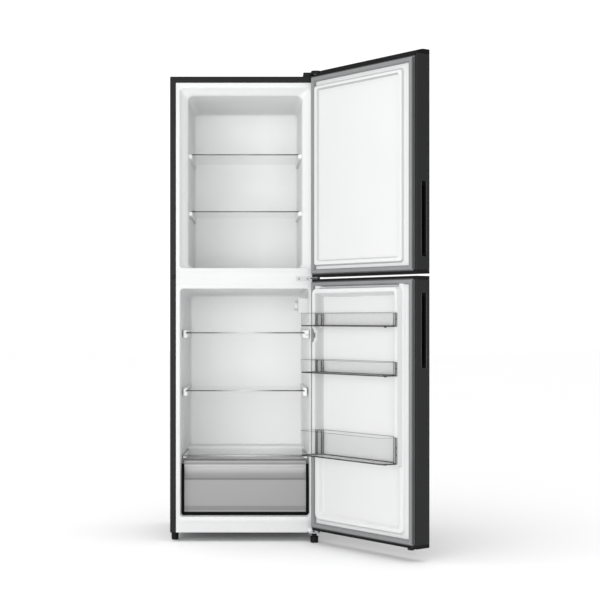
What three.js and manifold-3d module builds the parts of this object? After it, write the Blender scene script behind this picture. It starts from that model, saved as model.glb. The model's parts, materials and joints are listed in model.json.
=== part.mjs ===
// Top freezer refrigerator, both doors standing open on their right-hand hinges.
// Millimetres. +X to the right, +Y to the back, +Z up. The pieces are laid out with x = 0 in the middle
// of the cabinet, y = 0 at its front flange and z = 0 on the floor; the group is moved at the end.
import * as THREE from "three";
import { mergeVertices } from "three/addons/utils/BufferGeometryUtils.js";
import Module from "manifold-3d";

const wasm = await Module();
wasm.setup();

// Cabinet
const HALF_WIDTH = 272.5;
const DEPTH = 510;
const TOP = 1690;
const BOTTOM = 33;
const SHEET = 1;
const GAP = 0.3;
const STEEL_FLANGE = 21.3;
const LINER_EDGE = HALF_WIDTH - STEEL_FLANGE - GAP;
const FOAM_BOTTOM = 60;
const LINER = 2;
const MOUTH = 236.3;
const BACK_WALL = 440;
const BEAM_TOP = 983;
const BEAM_BOTTOM = 932.3;
const RAIL_TOP = 71.3;

// Freezer and fridge compartments
const FREEZER_FLOOR = 994;
const FREEZER_CEILING = 1647.4;
const FRIDGE_FLOOR = 89.4;
const FRIDGE_CEILING = 919.6;
const FREEZER_SHELF_Z = [1204.5, 1415.5];
const FRIDGE_SHELF_Z = [541.5, 755.5];
const GLASS = 4.5;
const COVER_Z = 304;
const FOOT_LEFT = { x: -257.3, y: 54 };
const FOOT_RIGHT = { x: 251, y: -17 };

// Doors
const PIN = { x: 258.5, y: -26.5, r: 4 };
const OPEN_ANGLE = 127.4;
const HINGE_EDGE = 11;
const HANDLE_EDGE = -531;
const DOOR_FRONT = -51;
const DOOR_BACK = 12;
const SEAL_BACK = 25.6;
const CAP = 12;
const FREEZER_DOOR = { z0: 960.4, z1: 1691.6, grip: [1015, 1271] };
const FRIDGE_DOOR = { z0: 45.8, z1: 952.6, grip: [643, 899] };
const STEP_X = -42;
const STEP_Z = 1683.6;

// ---------------------------------------------------------------- shapes

function solid(geometry) {
  const bare = geometry.clone();
  bare.deleteAttribute("normal");
  bare.deleteAttribute("uv");
  const merged = mergeVertices(bare, 1e-4);
  const faces = [];
  for (let i = 0; i < merged.index.count; i += 3) {
    const [a, b, c] = merged.index.array.slice(i, i + 3);
    if (a !== b && b !== c && c !== a) faces.push(a, b, c);
  }
  return new wasm.Manifold(
    new wasm.Mesh({
      numProp: 3,
      vertProperties: merged.attributes.position.array,
      triVerts: new Uint32Array(faces),
    }),
  );
}

function box(x0, x1, y0, y1, z0, z1) {
  const g = new THREE.BoxGeometry(x1 - x0, y1 - y0, z1 - z0);
  g.translate((x0 + x1) / 2, (y0 + y1) / 2, (z0 + z1) / 2);
  return solid(g);
}

function outline(points) {
  return new THREE.Shape(points.map(([x, y]) => new THREE.Vector2(x, y)));
}

function roundedRect(x0, x1, y0, y1, r) {
  const s = new THREE.Shape();
  s.moveTo(x0 + r, y0);
  s.lineTo(x1 - r, y0);
  s.absarc(x1 - r, y0 + r, r, -Math.PI / 2, 0);
  s.lineTo(x1, y1 - r);
  s.absarc(x1 - r, y1 - r, r, 0, Math.PI / 2);
  s.lineTo(x0 + r, y1);
  s.absarc(x0 + r, y1 - r, r, Math.PI / 2, Math.PI);
  s.lineTo(x0, y0 + r);
  s.absarc(x0 + r, y0 + r, r, Math.PI, 1.5 * Math.PI);
  return s;
}

function extrude(shape, length, curveSegments = 3) {
  return new THREE.ExtrudeGeometry(shape, { depth: length, bevelEnabled: false, curveSegments });
}

// A plan outline in x and y, raised from z0 to z1.
function upright(shape, z0, z1, curveSegments) {
  return solid(extrude(shape, z1 - z0, curveSegments).translate(0, 0, z0));
}

// A front outline in x and z, running back from y0 to y1.
function backward(shape, y0, y1, curveSegments) {
  const g = extrude(shape, y1 - y0, curveSegments);
  return solid(g.rotateX(Math.PI / 2).translate(0, y1, 0));
}

// A side outline in y and z, running across from x0 to x1.
function across(shape, x0, x1, curveSegments) {
  const g = extrude(shape, x1 - x0, curveSegments);
  const turn = new THREE.Matrix4().makeBasis(
    new THREE.Vector3(0, 1, 0),
    new THREE.Vector3(0, 0, 1),
    new THREE.Vector3(1, 0, 0),
  );
  return solid(g.applyMatrix4(turn).translate(x0, 0, 0));
}

function lathe(profile, x, y, sides = 16) {
  const points = profile.map(([r, z]) => new THREE.Vector2(r, z));
  const g = new THREE.LatheGeometry([...points, points[0]], sides);
  return solid(g.rotateX(Math.PI / 2).translate(x, y, 0));
}

function post(x, y, r, z0, z1, sides = 12) {
  const g = new THREE.CylinderGeometry(r, r, z1 - z0, sides);
  return solid(g.rotateX(Math.PI / 2).translate(x, y, (z0 + z1) / 2));
}

function rodAlongY(x, z, r, y0, y1, sides = 12) {
  const g = new THREE.CylinderGeometry(r, r, y1 - y0, sides);
  return solid(g.translate(x, (y0 + y1) / 2, z));
}

function rodAlongX(y, z, r, x0, x1, sides = 16) {
  const g = new THREE.CylinderGeometry(r, r, x1 - x0, sides);
  return solid(g.rotateZ(Math.PI / 2).translate((x0 + x1) / 2, y, z));
}

// A rounded rectangular passage whose half width x and heights z0 and z1 change from station to station.
function tunnel(stations, radius, grow = 0) {
  const last = stations.length - 1;
  const base = stations[last];
  const middle = (base.z0 + base.z1) / 2;
  const shape = roundedRect(-base.x - grow, base.x + grow, base.z0 - grow, base.z1 + grow, radius);
  const g = new THREE.ExtrudeGeometry(shape, {
    depth: last,
    steps: last,
    bevelEnabled: false,
    curveSegments: 3,
  });
  const p = g.attributes.position;
  for (let i = 0; i < p.count; i++) {
    const here = stations[last - Math.round(p.getZ(i))];
    const x = p.getX(i) + Math.sign(p.getX(i)) * (here.x - base.x);
    const up = p.getY(i) > middle ? here.z1 - base.z1 : here.z0 - base.z0;
    p.setXYZ(i, x, here.y, p.getY(i) + up);
  }
  return solid(g);
}

// ---------------------------------------------------------------- nodes

const group = new THREE.Group();
const openDoors = new THREE.Group();
openDoors.position.set(PIN.x, PIN.y, 0);
openDoors.rotation.z = THREE.MathUtils.degToRad(OPEN_ANGLE);
group.add(openDoors);

const PAINT = { color: 0x37393b, roughness: 0.42, metalness: 0.35 };
const WHITE = { color: 0xf0f1f1, roughness: 0.35, metalness: 0 };
const BLACK = { color: 0x17181a, roughness: 0.5, metalness: 0 };
const FOAM = { color: 0xe2d8b4, roughness: 0.95, metalness: 0 };
const RUBBER = { color: 0x8f9294, roughness: 0.75, metalness: 0 };
const BLACK_RUBBER = { color: 0x1b1b1c, roughness: 0.85, metalness: 0 };
const ZINC = { color: 0xb9bdc1, roughness: 0.35, metalness: 0.9 };
const CLEAR_GLASS = { color: 0xa9b4b3, roughness: 0.08, metalness: 0 };
const CLEAR_PLASTIC = { color: 0xc4c8ca, roughness: 0.18, metalness: 0 };
const SMOKE_PLASTIC = { color: 0x9b9ea0, roughness: 0.2, metalness: 0 };
const COPPER = { color: 0xb1754f, roughness: 0.4, metalness: 0.9 };
const ALUMINIUM = { color: 0xc9cccf, roughness: 0.45, metalness: 0.85 };
const BLACK_STEEL = { color: 0x1c1d1f, roughness: 0.55, metalness: 0.5 };

function add(name, shape, look, parent = group) {
  const made = shape.getMesh();
  const g = new THREE.BufferGeometry();
  g.setAttribute("position", new THREE.BufferAttribute(made.vertProperties, 3));
  g.setIndex(new THREE.BufferAttribute(made.triVerts, 1));
  g.computeVertexNormals();
  const mesh = new THREE.Mesh(g, new THREE.MeshStandardMaterial(look));
  mesh.name = name;
  parent.add(mesh);
}

// ---------------------------------------------------------------- compartments

// The freezer's mouth narrows through a wide curved collar; its floor stays level with the lip.
function freezerSpace(grow, back = 0) {
  const at = (y, x, z1) => ({ y, x, z0: FREEZER_FLOOR, z1 });
  const lip = grow ? LINER / 2 : -6;
  const stations = [
    at(lip, MOUTH, FREEZER_CEILING),
    at(grow ? 4 : 2, MOUTH - 0.5, FREEZER_CEILING - 0.5),
    at(12, 228, 1641),
    at(30, 214.5, 1630),
    at(48, 208.3, 1625.5),
    at(BACK_WALL + back, 204, 1616),
  ];
  return tunnel(stations, 12 + grow, grow);
}

function fridgeHalf(y) {
  return MOUTH - (15.8 * y) / BACK_WALL;
}

function fridgeSpace(grow, back = 0) {
  const at = (y) => ({
    y,
    x: fridgeHalf(y),
    z0: FRIDGE_FLOOR,
    z1: FRIDGE_CEILING - (16.3 * y) / BACK_WALL,
  });
  const lip = grow ? LINER / 2 : -6;
  return tunnel([at(lip), at(BACK_WALL + back)], 12 + grow, grow);
}

// The step over the compressor at the bottom of the fridge's back wall.
function compressorStep(inset) {
  const side = outline([
    [296 + inset, 60],
    [348 + inset, 316 - inset],
    [470, 316 - inset],
    [470, 60],
  ]);
  return across(side, -250, 250);
}

function mirrored(make) {
  return make(-1).add(make(1));
}

// A block on the side wall at side -1 or 1, from the wall in to half width x.
function wallBlock(side, x, y0, y1, z0, z1) {
  return side < 0 ? box(-MOUTH, -x, y0, y1, z0, z1) : box(x, MOUTH, y0, y1, z0, z1);
}

const SLOT_HALF = 219.6;
const PLUNGER = { x: 227, z: 751, r: 4 };

function freezerLiner() {
  const outer = freezerSpace(LINER, LINER);
  const flange = box(-LINER_EDGE, LINER_EDGE, 0, LINER, BEAM_TOP + 0.2, TOP - STEEL_FLANGE - 1.7);
  const ledges = FREEZER_SHELF_Z.map((z) =>
    mirrored((side) => wallBlock(side, 195, 66, 426, z - 16, z - GAP)),
  );
  const inside = freezerSpace(0);
  const shell = outer.add(flange).subtract(inside);
  return shell.add(ledges[0].add(ledges[1]).intersect(outer));
}

function fridgeLiner() {
  const outer = fridgeSpace(LINER, LINER).subtract(compressorStep(LINER));
  const flange = box(-LINER_EDGE, LINER_EDGE, 0, LINER, RAIL_TOP + 0.1, BEAM_BOTTOM - 0.2);
  const inside = fridgeSpace(0).subtract(compressorStep(0));
  let shell = outer.add(flange).subtract(inside);
  for (const z of FRIDGE_SHELF_Z) {
    const ledge = mirrored((side) => wallBlock(side, 213.5, 74, 432, z - 17, z + GLASS + 8));
    const slot = box(-SLOT_HALF, SLOT_HALF, 60, 438, z - GAP, z + GLASS + GAP);
    shell = shell.add(ledge.intersect(outer).subtract(slot));
  }
  const rails = mirrored((side) => wallBlock(side, 217, 60, 344, COVER_Z - 7, COVER_Z - GAP));
  const switchBoss = box(219.9, MOUTH, 12, 80, 738, 768);
  shell = shell.add(rails.intersect(outer)).add(switchBoss.intersect(outer));
  return shell.subtract(rodAlongY(PLUNGER.x, PLUNGER.z, PLUNGER.r + GAP, -8, 44, 10));
}

// ---------------------------------------------------------------- cabinet

const caseInner = HALF_WIDTH - SHEET;

function outerCase() {
  const wrap = outline([
    [-HALF_WIDTH, BOTTOM],
    [-caseInner, BOTTOM],
    [-caseInner, TOP - SHEET],
    [caseInner, TOP - SHEET],
    [caseInner, BOTTOM],
    [HALF_WIDTH, BOTTOM],
    [HALF_WIDTH, TOP],
    [-HALF_WIDTH, TOP],
  ]);
  const inner = HALF_WIDTH - STEEL_FLANGE;
  const face = outline([
    [-HALF_WIDTH, BOTTOM],
    [-inner, BOTTOM],
    [-inner, TOP - STEEL_FLANGE - 1.4],
    [inner, TOP - STEEL_FLANGE - 1.4],
    [inner, BOTTOM],
    [HALF_WIDTH, BOTTOM],
    [HALF_WIDTH, TOP],
    [-HALF_WIDTH, TOP],
  ]);
  const plugHole = rodAlongY(-258.8, 961.4, 4.6, -2, 4, 10);
  return backward(wrap, 0, DEPTH).add(backward(face, 0, SHEET)).subtract(plugHole);
}

// The bay under the step, open to the back, that holds the compressor.
const BAY = [
  [341, 20],
  [341, FOAM_BOTTOM],
  [393, 272],
  [DEPTH + 10, 272],
  [DEPTH + 10, 20],
];
const EVAPORATOR = { y0: 443, y1: 447, z0: 1060, z1: 1560, x: 170 };
const SCREW_X = [196, 227];
const SCREW_Z = 954.8;

function cabinetFoam() {
  const e = EVAPORATOR;
  const block = box(
    -caseInner + GAP,
    caseInner - GAP,
    LINER + GAP,
    DEPTH - SHEET - GAP,
    FOAM_BOTTOM,
    TOP - SHEET - GAP,
  );
  const fridge = fridgeSpace(LINER + GAP, LINER + GAP);
  const bay = across(outline(BAY), -280, 280);
  const coldPlate = box(-e.x - 1, e.x + 1, BACK_WALL, e.y1 + 6, e.z0 - 1, e.z1 + 1);
  let foam = block
    .subtract(freezerSpace(LINER + GAP, LINER + GAP))
    .subtract(fridge.subtract(compressorStep(LINER + GAP)))
    .subtract(bay)
    .subtract(coldPlate);
  for (const x of SCREW_X) foam = foam.subtract(rodAlongY(x, SCREW_Z, 3, -1, 20, 8));
  return foam
    .subtract(rodAlongY(-258.8, 961.4, 6, -2, 12, 10))
    .subtract(post(FOOT_LEFT.x, FOOT_LEFT.y, 6, FOAM_BOTTOM - 2, 76));
}

// One bent sheet: under the foam, up the bay's sloping wall and over the bay, with the carrier welded on.
function baseFrame() {
  const t = 1.5;
  const sheet = outline([
    [LINER + 1, FOAM_BOTTOM - GAP - t],
    [341 + t, FOAM_BOTTOM - GAP - t],
    [393 + t, 272 - GAP - t],
    [DEPTH - 2, 272 - GAP - t],
    [DEPTH - 2, 272 - GAP],
    [393 + GAP, 272 - GAP],
    [341 + GAP, FOAM_BOTTOM - GAP],
    [LINER + 1, FOAM_BOTTOM - GAP],
  ]);
  const carrier = outline([
    [338, 40],
    [DEPTH - 2, 40],
    [DEPTH - 2, 52],
    [DEPTH - 2 - t, 52],
    [DEPTH - 2 - t, 40 + t],
    [338 + t, 40 + t],
    [338 + t, FOAM_BOTTOM - 1],
    [338, FOAM_BOTTOM - 1],
  ]);
  let frame = across(sheet, -caseInner + GAP, caseInner - GAP);
  frame = frame.add(across(carrier, -caseInner + GAP, caseInner - GAP));
  for (const side of [-1, 1]) {
    const ear = box(side * 244 - 1, side * 244 + 1, 468, 492, 12, 41);
    frame = frame.add(ear);
    frame = frame.add(rodAlongX(480, 18, 4, Math.min(side * 243, side * 263), Math.max(side * 243, side * 263)));
    for (const y of MOUNT_Y) frame = frame.add(post(side * MOUNT_X, y, 3, 41, 55, 8));
  }
  return frame.subtract(post(FOOT_LEFT.x, FOOT_LEFT.y, 4.4, 50, 64));
}

// ---------------------------------------------------------------- cooling

const MOUNT_X = 88;
const MOUNT_Y = [392, 468];

function compressor() {
  const shell = [
    [0, 58],
    [44, 58],
    [60, 70],
    [64, 96],
    [64, 132],
    [62, 150],
    [50, 182],
    [26, 200],
    [0, 204],
  ];
  const points = shell.map(([r, z]) => new THREE.Vector2(r, z));
  const g = new THREE.LatheGeometry([...points, points[0]], 16);
  g.rotateX(Math.PI / 2).scale(1.35, 1, 1).translate(0, 430, 0);
  const feet = [-1, 1].map((side) =>
    box(side * MOUNT_X - 11, side * MOUNT_X + 11, MOUNT_Y[0] - 12, MOUNT_Y[1] + 12, 53.5, 56.5),
  );
  let body = solid(g).add(feet[0].add(feet[1]).add(box(-95, 95, 405, 455, 53.5, 60)));
  for (const side of [-1, 1]) {
    for (const y of MOUNT_Y) body = body.subtract(post(side * MOUNT_X, y, 7.3, 50, 60, 10));
  }
  return body.add(box(84, 104, 412, 448, 108, 150));
}

// A rubber bush with a waist that the compressor's foot sits in, on its stud.
function mount(x, y) {
  const profile = [
    [3.3, 41.8],
    [10, 41.8],
    [10, 53.2],
    [7, 53.2],
    [7, 57.2],
    [3.3, 57.2],
  ];
  return lathe(profile, x, y, 10);
}

function serpentine(x, y, z0, z1, passes, r) {
  const step = (z1 - z0) / (passes - 1);
  const path = new THREE.CurvePath();
  const bulge = step / 2;
  for (let i = 0; i < passes; i++) {
    const z = z0 + i * step;
    const side = i % 2 ? -1 : 1;
    const from = new THREE.Vector3(-side * x, y, z);
    const to = new THREE.Vector3(side * x, y, z);
    path.add(new THREE.LineCurve3(from, to));
    if (i === passes - 1) break;
    const a = new THREE.Vector3(side * (x + bulge * 1.3), y, z);
    const b = new THREE.Vector3(side * (x + bulge * 1.3), y, z + step);
    path.add(new THREE.CubicBezierCurve3(to, a, b, new THREE.Vector3(side * x, y, z + step)));
  }
  return sweep(path, r);
}

// A round tube along a run of straights and bends, with rings only where the run bends.
function sweep(path, r) {
  const points = [];
  path.curves.forEach((curve) => {
    const cuts = curve.isLineCurve3 ? [0, 1] : [0.2, 0.5, 0.8];
    cuts.forEach((t) => points.push(curve.getPoint(t)));
  });
  const shape = new THREE.Shape().absarc(0, 0, r, 0, 2 * Math.PI);
  const steps = points.length - 1;
  const g = new THREE.ExtrudeGeometry(shape, {
    steps,
    curveSegments: 3,
    bevelEnabled: false,
    extrudePath: evenly(points),
  });
  return solid(g);
}

// A curve that passes through each point at even steps of its parameter.
function evenly(points) {
  const curve = new THREE.Curve();
  const last = points.length - 1;
  curve.getPoint = (t) => {
    const at = Math.min(t * last, last - 1e-9);
    const i = Math.floor(at);
    return points[i].clone().lerp(points[i + 1], at - i);
  };
  curve.getPointAt = (u) => curve.getPoint(u);
  curve.getTangentAt = (u) => {
    const i = Math.round(u * last);
    const before = points[Math.max(i - 1, 0)];
    const after = points[Math.min(i + 1, last)];
    const along = points[Math.min(i + 1, last)].clone().sub(points[Math.min(i, last - 1)]).normalize();
    const from = points[i].clone().sub(before).normalize();
    if (i === 0 || i === last) return after.clone().sub(before).normalize();
    return along.add(from).normalize();
  };
  return curve;
}

function condenser() {
  const y = DEPTH + 9;
  const tube = serpentine(185, y, 420, 1360, 9, 3);
  const plate = box(-215, 215, y + 2, y + 3, 390, 1390);
  let coil = tube.add(plate);
  for (const z of [400, 1380]) {
    for (const side of [-1, 1]) {
      coil = coil.add(box(side * 200 - 6, side * 200 + 6, DEPTH + GAP, y + 2.5, z - 6, z + 6));
    }
  }
  return coil;
}

// ---------------------------------------------------------------- hinges

function topHingeBracket() {
  const plan = outline([
    [216, 8],
    [216, 58],
    [262, 58],
    [266, 6],
    [269, -26],
    [264, -35],
    [253, -35],
    [247, -26],
    [244, 8],
  ]);
  return upright(plan, TOP + GAP, TOP + GAP + 3).subtract(
    post(PIN.x, PIN.y, PIN.r + GAP, TOP - 4, TOP + 8),
  );
}

function topHingeCover() {
  const plan = (t) =>
    outline([
      [212 + t, 2 + t],
      [212 + t, 66 - t],
      [218 + t, 72 - t],
      [266 - t, 72 - t],
      [271.5 - t, 66 - t],
      [271.5 - t, -34 + t],
      [265 - t, -40 + t],
      [247 + t, -40 + t],
      [240 + t, -32 + t],
      [238 + t, 2 + t],
    ]);
  const hood = upright(plan(0), TOP + GAP, 1705);
  return hood.subtract(upright(plan(2.2), TOP - 3, 1702.5));
}

function pin(z0, z1, head) {
  const stem = post(PIN.x, PIN.y, PIN.r, z0, z1, 16);
  return stem.add(post(PIN.x, PIN.y, PIN.r + 2.2, head, head + 1.6, 16));
}

const ARM_Z = 955;

function middleHingeBracket() {
  let plate = box(184, 262, -2.8, -GAP, 946, 964);
  plate = plate.add(
    upright(
      outline([
        [236, -GAP],
        [246, -35],
        [266, -35],
        [270, -26],
        [262, -GAP],
      ]),
      ARM_Z,
      ARM_Z + 3,
    ),
  );
  for (const x of SCREW_X) plate = plate.subtract(rodAlongY(x, SCREW_Z, 2.6, -5, 2, 8));
  return plate.subtract(post(PIN.x, PIN.y, PIN.r + GAP, ARM_Z - 2, ARM_Z + 5, 16));
}

function screw(x) {
  const head = rodAlongY(x, SCREW_Z, 4.8, -5.4, -3.1, 12);
  const slot = box(x - 3, x + 3, -6, -4.6, SCREW_Z - 0.6, SCREW_Z + 0.6);
  return head.subtract(slot).add(rodAlongY(x, SCREW_Z, 2.2, -3.2, 16, 8));
}

function lowerHingeBracket() {
  const shelf = outline([
    [224, -GAP],
    [231, -39],
    [266, -39],
    [270, -34],
    [264, -GAP],
  ]);
  const plate = upright(shelf, 36, 39).add(box(224, 264, -2.8, -GAP, 36, 54));
  return plate
    .subtract(post(PIN.x, PIN.y, PIN.r + GAP, 30, 44, 16))
    .subtract(post(FOOT_RIGHT.x, FOOT_RIGHT.y, 4.4, 30, 44, 12));
}

// A levelling foot: a round pad with a neck and a threaded stem.
function foot(x, y, stemTop, r, neck) {
  const profile = [
    [0, 0],
    [r - 3.5, 0],
    [r - 1, 2.5],
    [r, neck > 12 ? neck - 2 : 10],
    [r - 2, neck],
    [9, neck],
    [9, 32.4],
    [3.9, 32.4],
    [3.9, stemTop],
    [0, stemTop],
  ];
  return lathe(profile, x, y, 14);
}

function roller(x) {
  const half = 6.5;
  const g = new THREE.LatheGeometry(
    [
      [4.4, -half],
      [16, -half],
      [18, -half + 2],
      [18, half - 2],
      [16, half],
      [4.4, half],
      [4.4, -half],
    ].map(([r, z]) => new THREE.Vector2(r, z)),
    18,
  );
  return solid(g.rotateZ(Math.PI / 2).translate(x, 480, 18));
}

// ---------------------------------------------------------------- doors, closed, measured from the pin

function doorSkin(d) {
  const t = SHEET;
  const z0 = d.z0 + CAP + GAP;
  const z1 = d.z1 - (d === FRIDGE_DOOR ? CAP : 0) - GAP;
  const plan = outline([
    [HANDLE_EDGE + 7.2, DOOR_BACK],
    [HANDLE_EDGE, DOOR_BACK],
    [HANDLE_EDGE, DOOR_FRONT + 7],
    [HANDLE_EDGE + 2, DOOR_FRONT + 2],
    [HANDLE_EDGE + 7, DOOR_FRONT],
    [HINGE_EDGE - 7, DOOR_FRONT],
    [HINGE_EDGE - 2, DOOR_FRONT + 2],
    [HINGE_EDGE, DOOR_FRONT + 7],
    [HINGE_EDGE, DOOR_BACK],
    [HINGE_EDGE - 7.2, DOOR_BACK],
    [HINGE_EDGE - 7.2, DOOR_BACK - t],
    [HINGE_EDGE - t, DOOR_BACK - t],
    [HINGE_EDGE - t, DOOR_FRONT + 7.4],
    [HINGE_EDGE - 2.7, DOOR_FRONT + 2.8],
    [HINGE_EDGE - 7.4, DOOR_FRONT + t],
    [HANDLE_EDGE + 7.4, DOOR_FRONT + t],
    [HANDLE_EDGE + 2.7, DOOR_FRONT + 2.8],
    [HANDLE_EDGE + t, DOOR_FRONT + 7.4],
    [HANDLE_EDGE + t, DOOR_BACK - t],
    [HANDLE_EDGE + 7.2, DOOR_BACK - t],
  ]);
  let skin = upright(plan, z0, z1).subtract(gripHole(d, GAP, 5));
  if (d === FREEZER_DOOR) skin = skin.subtract(hingeStep());
  return skin;
}

// The corner over the hinge, kept low so that the hinge arm passes above it.
function hingeStep() {
  return box(STEP_X - 2.8, HINGE_EDGE + 5, DOOR_FRONT - 5, DOOR_BACK + 5, STEP_Z, TOP + 40);
}

const GRIP = { front: -34, back: -10, depth: 27, wall: 2 };

// An eight-sided opening in the door's edge, run inwards from outside the edge.
function gripHole(d, grow, depth) {
  const [z0, z1] = d.grip;
  const y0 = GRIP.front - grow;
  const y1 = GRIP.back + grow;
  const shape = outline([
    [y0 + 4, z0 - grow],
    [y1 - 4, z0 - grow],
    [y1, z0 + 4 - grow],
    [y1, z1 - 4 + grow],
    [y1 - 4, z1 + grow],
    [y0 + 4, z1 + grow],
    [y0, z1 - 4 + grow],
    [y0, z0 + 4 - grow],
  ]);
  return across(shape, HANDLE_EDGE - 3, HANDLE_EDGE + depth);
}

// The grip's cup: narrow behind its lip, with ends that slope in.
function grip(d) {
  const { wall, depth, front, back } = GRIP;
  const [z0, z1] = d.grip;
  const outer = gripHole(d, 0, depth);
  const shell = outer.intersect(
    box(HANDLE_EDGE + 0.2, HANDLE_EDGE + depth, front, back, z0, z1),
  );
  const hollow = outline([
    [HANDLE_EDGE - 4, z0 + wall],
    [HANDLE_EDGE + 2, z0 + wall],
    [HANDLE_EDGE + depth - wall, z0 + 22],
    [HANDLE_EDGE + depth - wall, z1 - 22],
    [HANDLE_EDGE + 2, z1 - wall],
    [HANDLE_EDGE - 4, z1 - wall],
  ]);
  return shell.subtract(backward(hollow, front + wall, back - wall));
}

function doorFoam(d) {
  const z0 = d.z0 + CAP + GAP;
  const z1 = d.z1 - (d === FRIDGE_DOOR ? CAP : 0) - GAP;
  const x0 = HANDLE_EDGE + SHEET + GAP;
  const x1 = HINGE_EDGE - SHEET - GAP;
  const y0 = DOOR_FRONT + SHEET + GAP;
  const plan = outline([
    [x0, DOOR_BACK - 2.5],
    [x0, y0 + 6.4],
    [x0 + 2, y0 + 2],
    [x0 + 6.4, y0],
    [x1 - 6.4, y0],
    [x1 - 2, y0 + 2],
    [x1, y0 + 6.4],
    [x1, DOOR_BACK - 2.5],
  ]);
  let foam = upright(plan, z0, z1).subtract(gripHole(d, GAP, GRIP.depth + GAP));
  foam = foam.subtract(post(0, 0, 9, z0 - 2, z0 + 14, 12));
  if (d === FREEZER_DOOR) foam = foam.subtract(hingeStep());
  const pinTop = d === FREEZER_DOOR ? STEP_Z : z1;
  return foam.subtract(post(0, 0, 6, pinTop - 14, pinTop + 4, 12));
}

// The freezer door's inner sheet: a flat border, a shallow ring groove and a raised middle panel.
function freezerDoorLiner() {
  const d = FREEZER_DOOR;
  const z0 = d.z0 + CAP + GAP;
  const z1 = d.z1 - 5;
  const sheet = box(HANDLE_EDGE + 8, HINGE_EDGE - 8, DOOR_BACK - LINER, DOOR_BACK, z0, z1);
  const ring = (inset, y0, y1) =>
    backward(
      roundedRect(-503 + inset, -13 - inset, d.z0 + 32 + inset, 1661 - inset, 10),
      y0,
      y1,
    );
  const raised = ring(3, DOOR_BACK - 0.5, DOOR_BACK + 5).subtract(ring(5, DOOR_BACK - 2, DOOR_BACK + 3));
  const groove = ring(17, DOOR_BACK + 3.6, DOOR_BACK + 7).subtract(ring(25, DOOR_BACK + 2, DOOR_BACK + 8));
  const back = ring(5, DOOR_BACK - LINER - 1, DOOR_BACK + 3);
  return sheet.add(raised).subtract(back).subtract(groove).subtract(hingeStep());
}

const RIB_TOP = 45;
const SWITCH_PAD = 20.4;
const BINS = [
  { name: "door_bin_lower", z0: 323.5, z1: 414 },
  { name: "door_bin_middle", z0: 617.5, z1: 665.5 },
  { name: "door_bin_upper", z0: 783, z1: 830.5 },
];

// The fridge door's inner sheet: a raised rib on both sides and across the top, which carries the bins.
function fridgeDoorLiner() {
  const d = FRIDGE_DOOR;
  const z0 = d.z0 + CAP + GAP;
  const z1 = d.z1 - CAP - GAP;
  const sheet = box(HANDLE_EDGE + 8, HINGE_EDGE - 8, DOOR_BACK - LINER, DOOR_BACK, z0, z1);
  const ribs = (t) => {
    const low = DOOR_BACK - (t ? 4 : 0.5);
    const left = outline([
      [-18 - t, low],
      [-29 - t, RIB_TOP - t],
      [-40 + t, RIB_TOP - t],
      [-60 + t, low],
    ]);
    const right = outline([
      [-476 + t, low],
      [-471 + t, RIB_TOP - t],
      [-460 - t, RIB_TOP - t],
      [-442 - t, low],
    ]);
    const over = outline([
      [low, 916 - t],
      [RIB_TOP - t, 915 - t],
      [RIB_TOP - t, 903 + t],
      [low, 886 + t],
    ]);
    const cut = 313;
    const uprights = upright(left, cut, 905).add(upright(right, cut, 905));
    return uprights.add(across(over, -471 + t, -29 - t));
  };
  const notch = box(-70, -10, SWITCH_PAD, 60, 727, 775);
  const ribbed = ribs(0).subtract(notch);
  const hollow = ribs(2).subtract(box(-72, -8, DOOR_BACK - 1, 60, 725, 777));
  const panel = (inset, y0, y1) =>
    backward(roundedRect(-478 + inset, -34 - inset, 82 + inset, 292 - inset, 10), y0, y1);
  const ring = panel(0, DOOR_BACK - 0.5, DOOR_BACK + 4).subtract(panel(5, DOOR_BACK - 1, DOOR_BACK + 5));
  const liner = sheet.add(ribbed).add(ring).subtract(hollow);
  return BINS.reduce((all, { z0 }) => {
    const left = box(-57, -48, DOOR_BACK - 1, 28, z0 - 6, z0 - GAP);
    const right = box(-453, -444, DOOR_BACK - 1, 28, z0 - 6, z0 - GAP);
    return all.add(left).add(right);
  }, liner);
}

function gasket(z0, z1) {
  const ring = (inset, y0, y1) =>
    backward(roundedRect(-522.4 + inset, 5.4 - inset, z0 + inset, z1 - inset, 6), y0, y1, 2);
  const width = 19.5;
  const seat = ring(2, DOOR_BACK + GAP, 15).subtract(ring(width - 4, DOOR_BACK - 2, 17));
  const lip = ring(0, 14.8, 21).subtract(ring(width, 12, 23));
  const nose = ring(3, 20.8, SEAL_BACK).subtract(ring(width - 2, 18, SEAL_BACK + 2));
  return seat.add(lip).add(nose);
}

// The black cap on the freezer door's top: it rises from the inner face to a flat crown.
function freezerTopCap() {
  const z = FREEZER_DOOR.z1;
  const side = outline([
    [DOOR_FRONT, z],
    [DOOR_BACK, z],
    [DOOR_BACK, 1699.4],
    [2, 1703],
    [-10, 1706],
    [-24, 1707.5],
    [DOOR_FRONT + 3, 1707.5],
    [DOOR_FRONT, 1704.5],
  ]);
  const crown = across(side, HANDLE_EDGE, STEP_X);
  const low = STEP_Z + GAP;
  const shelf = box(STEP_X - 2.5, HINGE_EDGE, DOOR_FRONT, DOOR_BACK, low, low + 4.4);
  const riser = box(STEP_X - 2.5, STEP_X, DOOR_FRONT, DOOR_BACK, low, z + 2);
  return crown.add(shelf).add(riser).subtract(post(0, 0, PIN.r + GAP, low - 4, low + 10, 16));
}

function plainCap(z0, hole) {
  const plan = outline([
    [HANDLE_EDGE, DOOR_BACK],
    [HANDLE_EDGE, DOOR_FRONT + 7],
    [HANDLE_EDGE + 2, DOOR_FRONT + 2],
    [HANDLE_EDGE + 7, DOOR_FRONT],
    [HINGE_EDGE - 7, DOOR_FRONT],
    [HINGE_EDGE - 2, DOOR_FRONT + 2],
    [HINGE_EDGE, DOOR_FRONT + 7],
    [HINGE_EDGE, DOOR_BACK],
  ]);
  return upright(plan, z0, z0 + CAP).subtract(post(0, 0, hole, z0 - 2, z0 + CAP + 2, 16));
}

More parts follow.
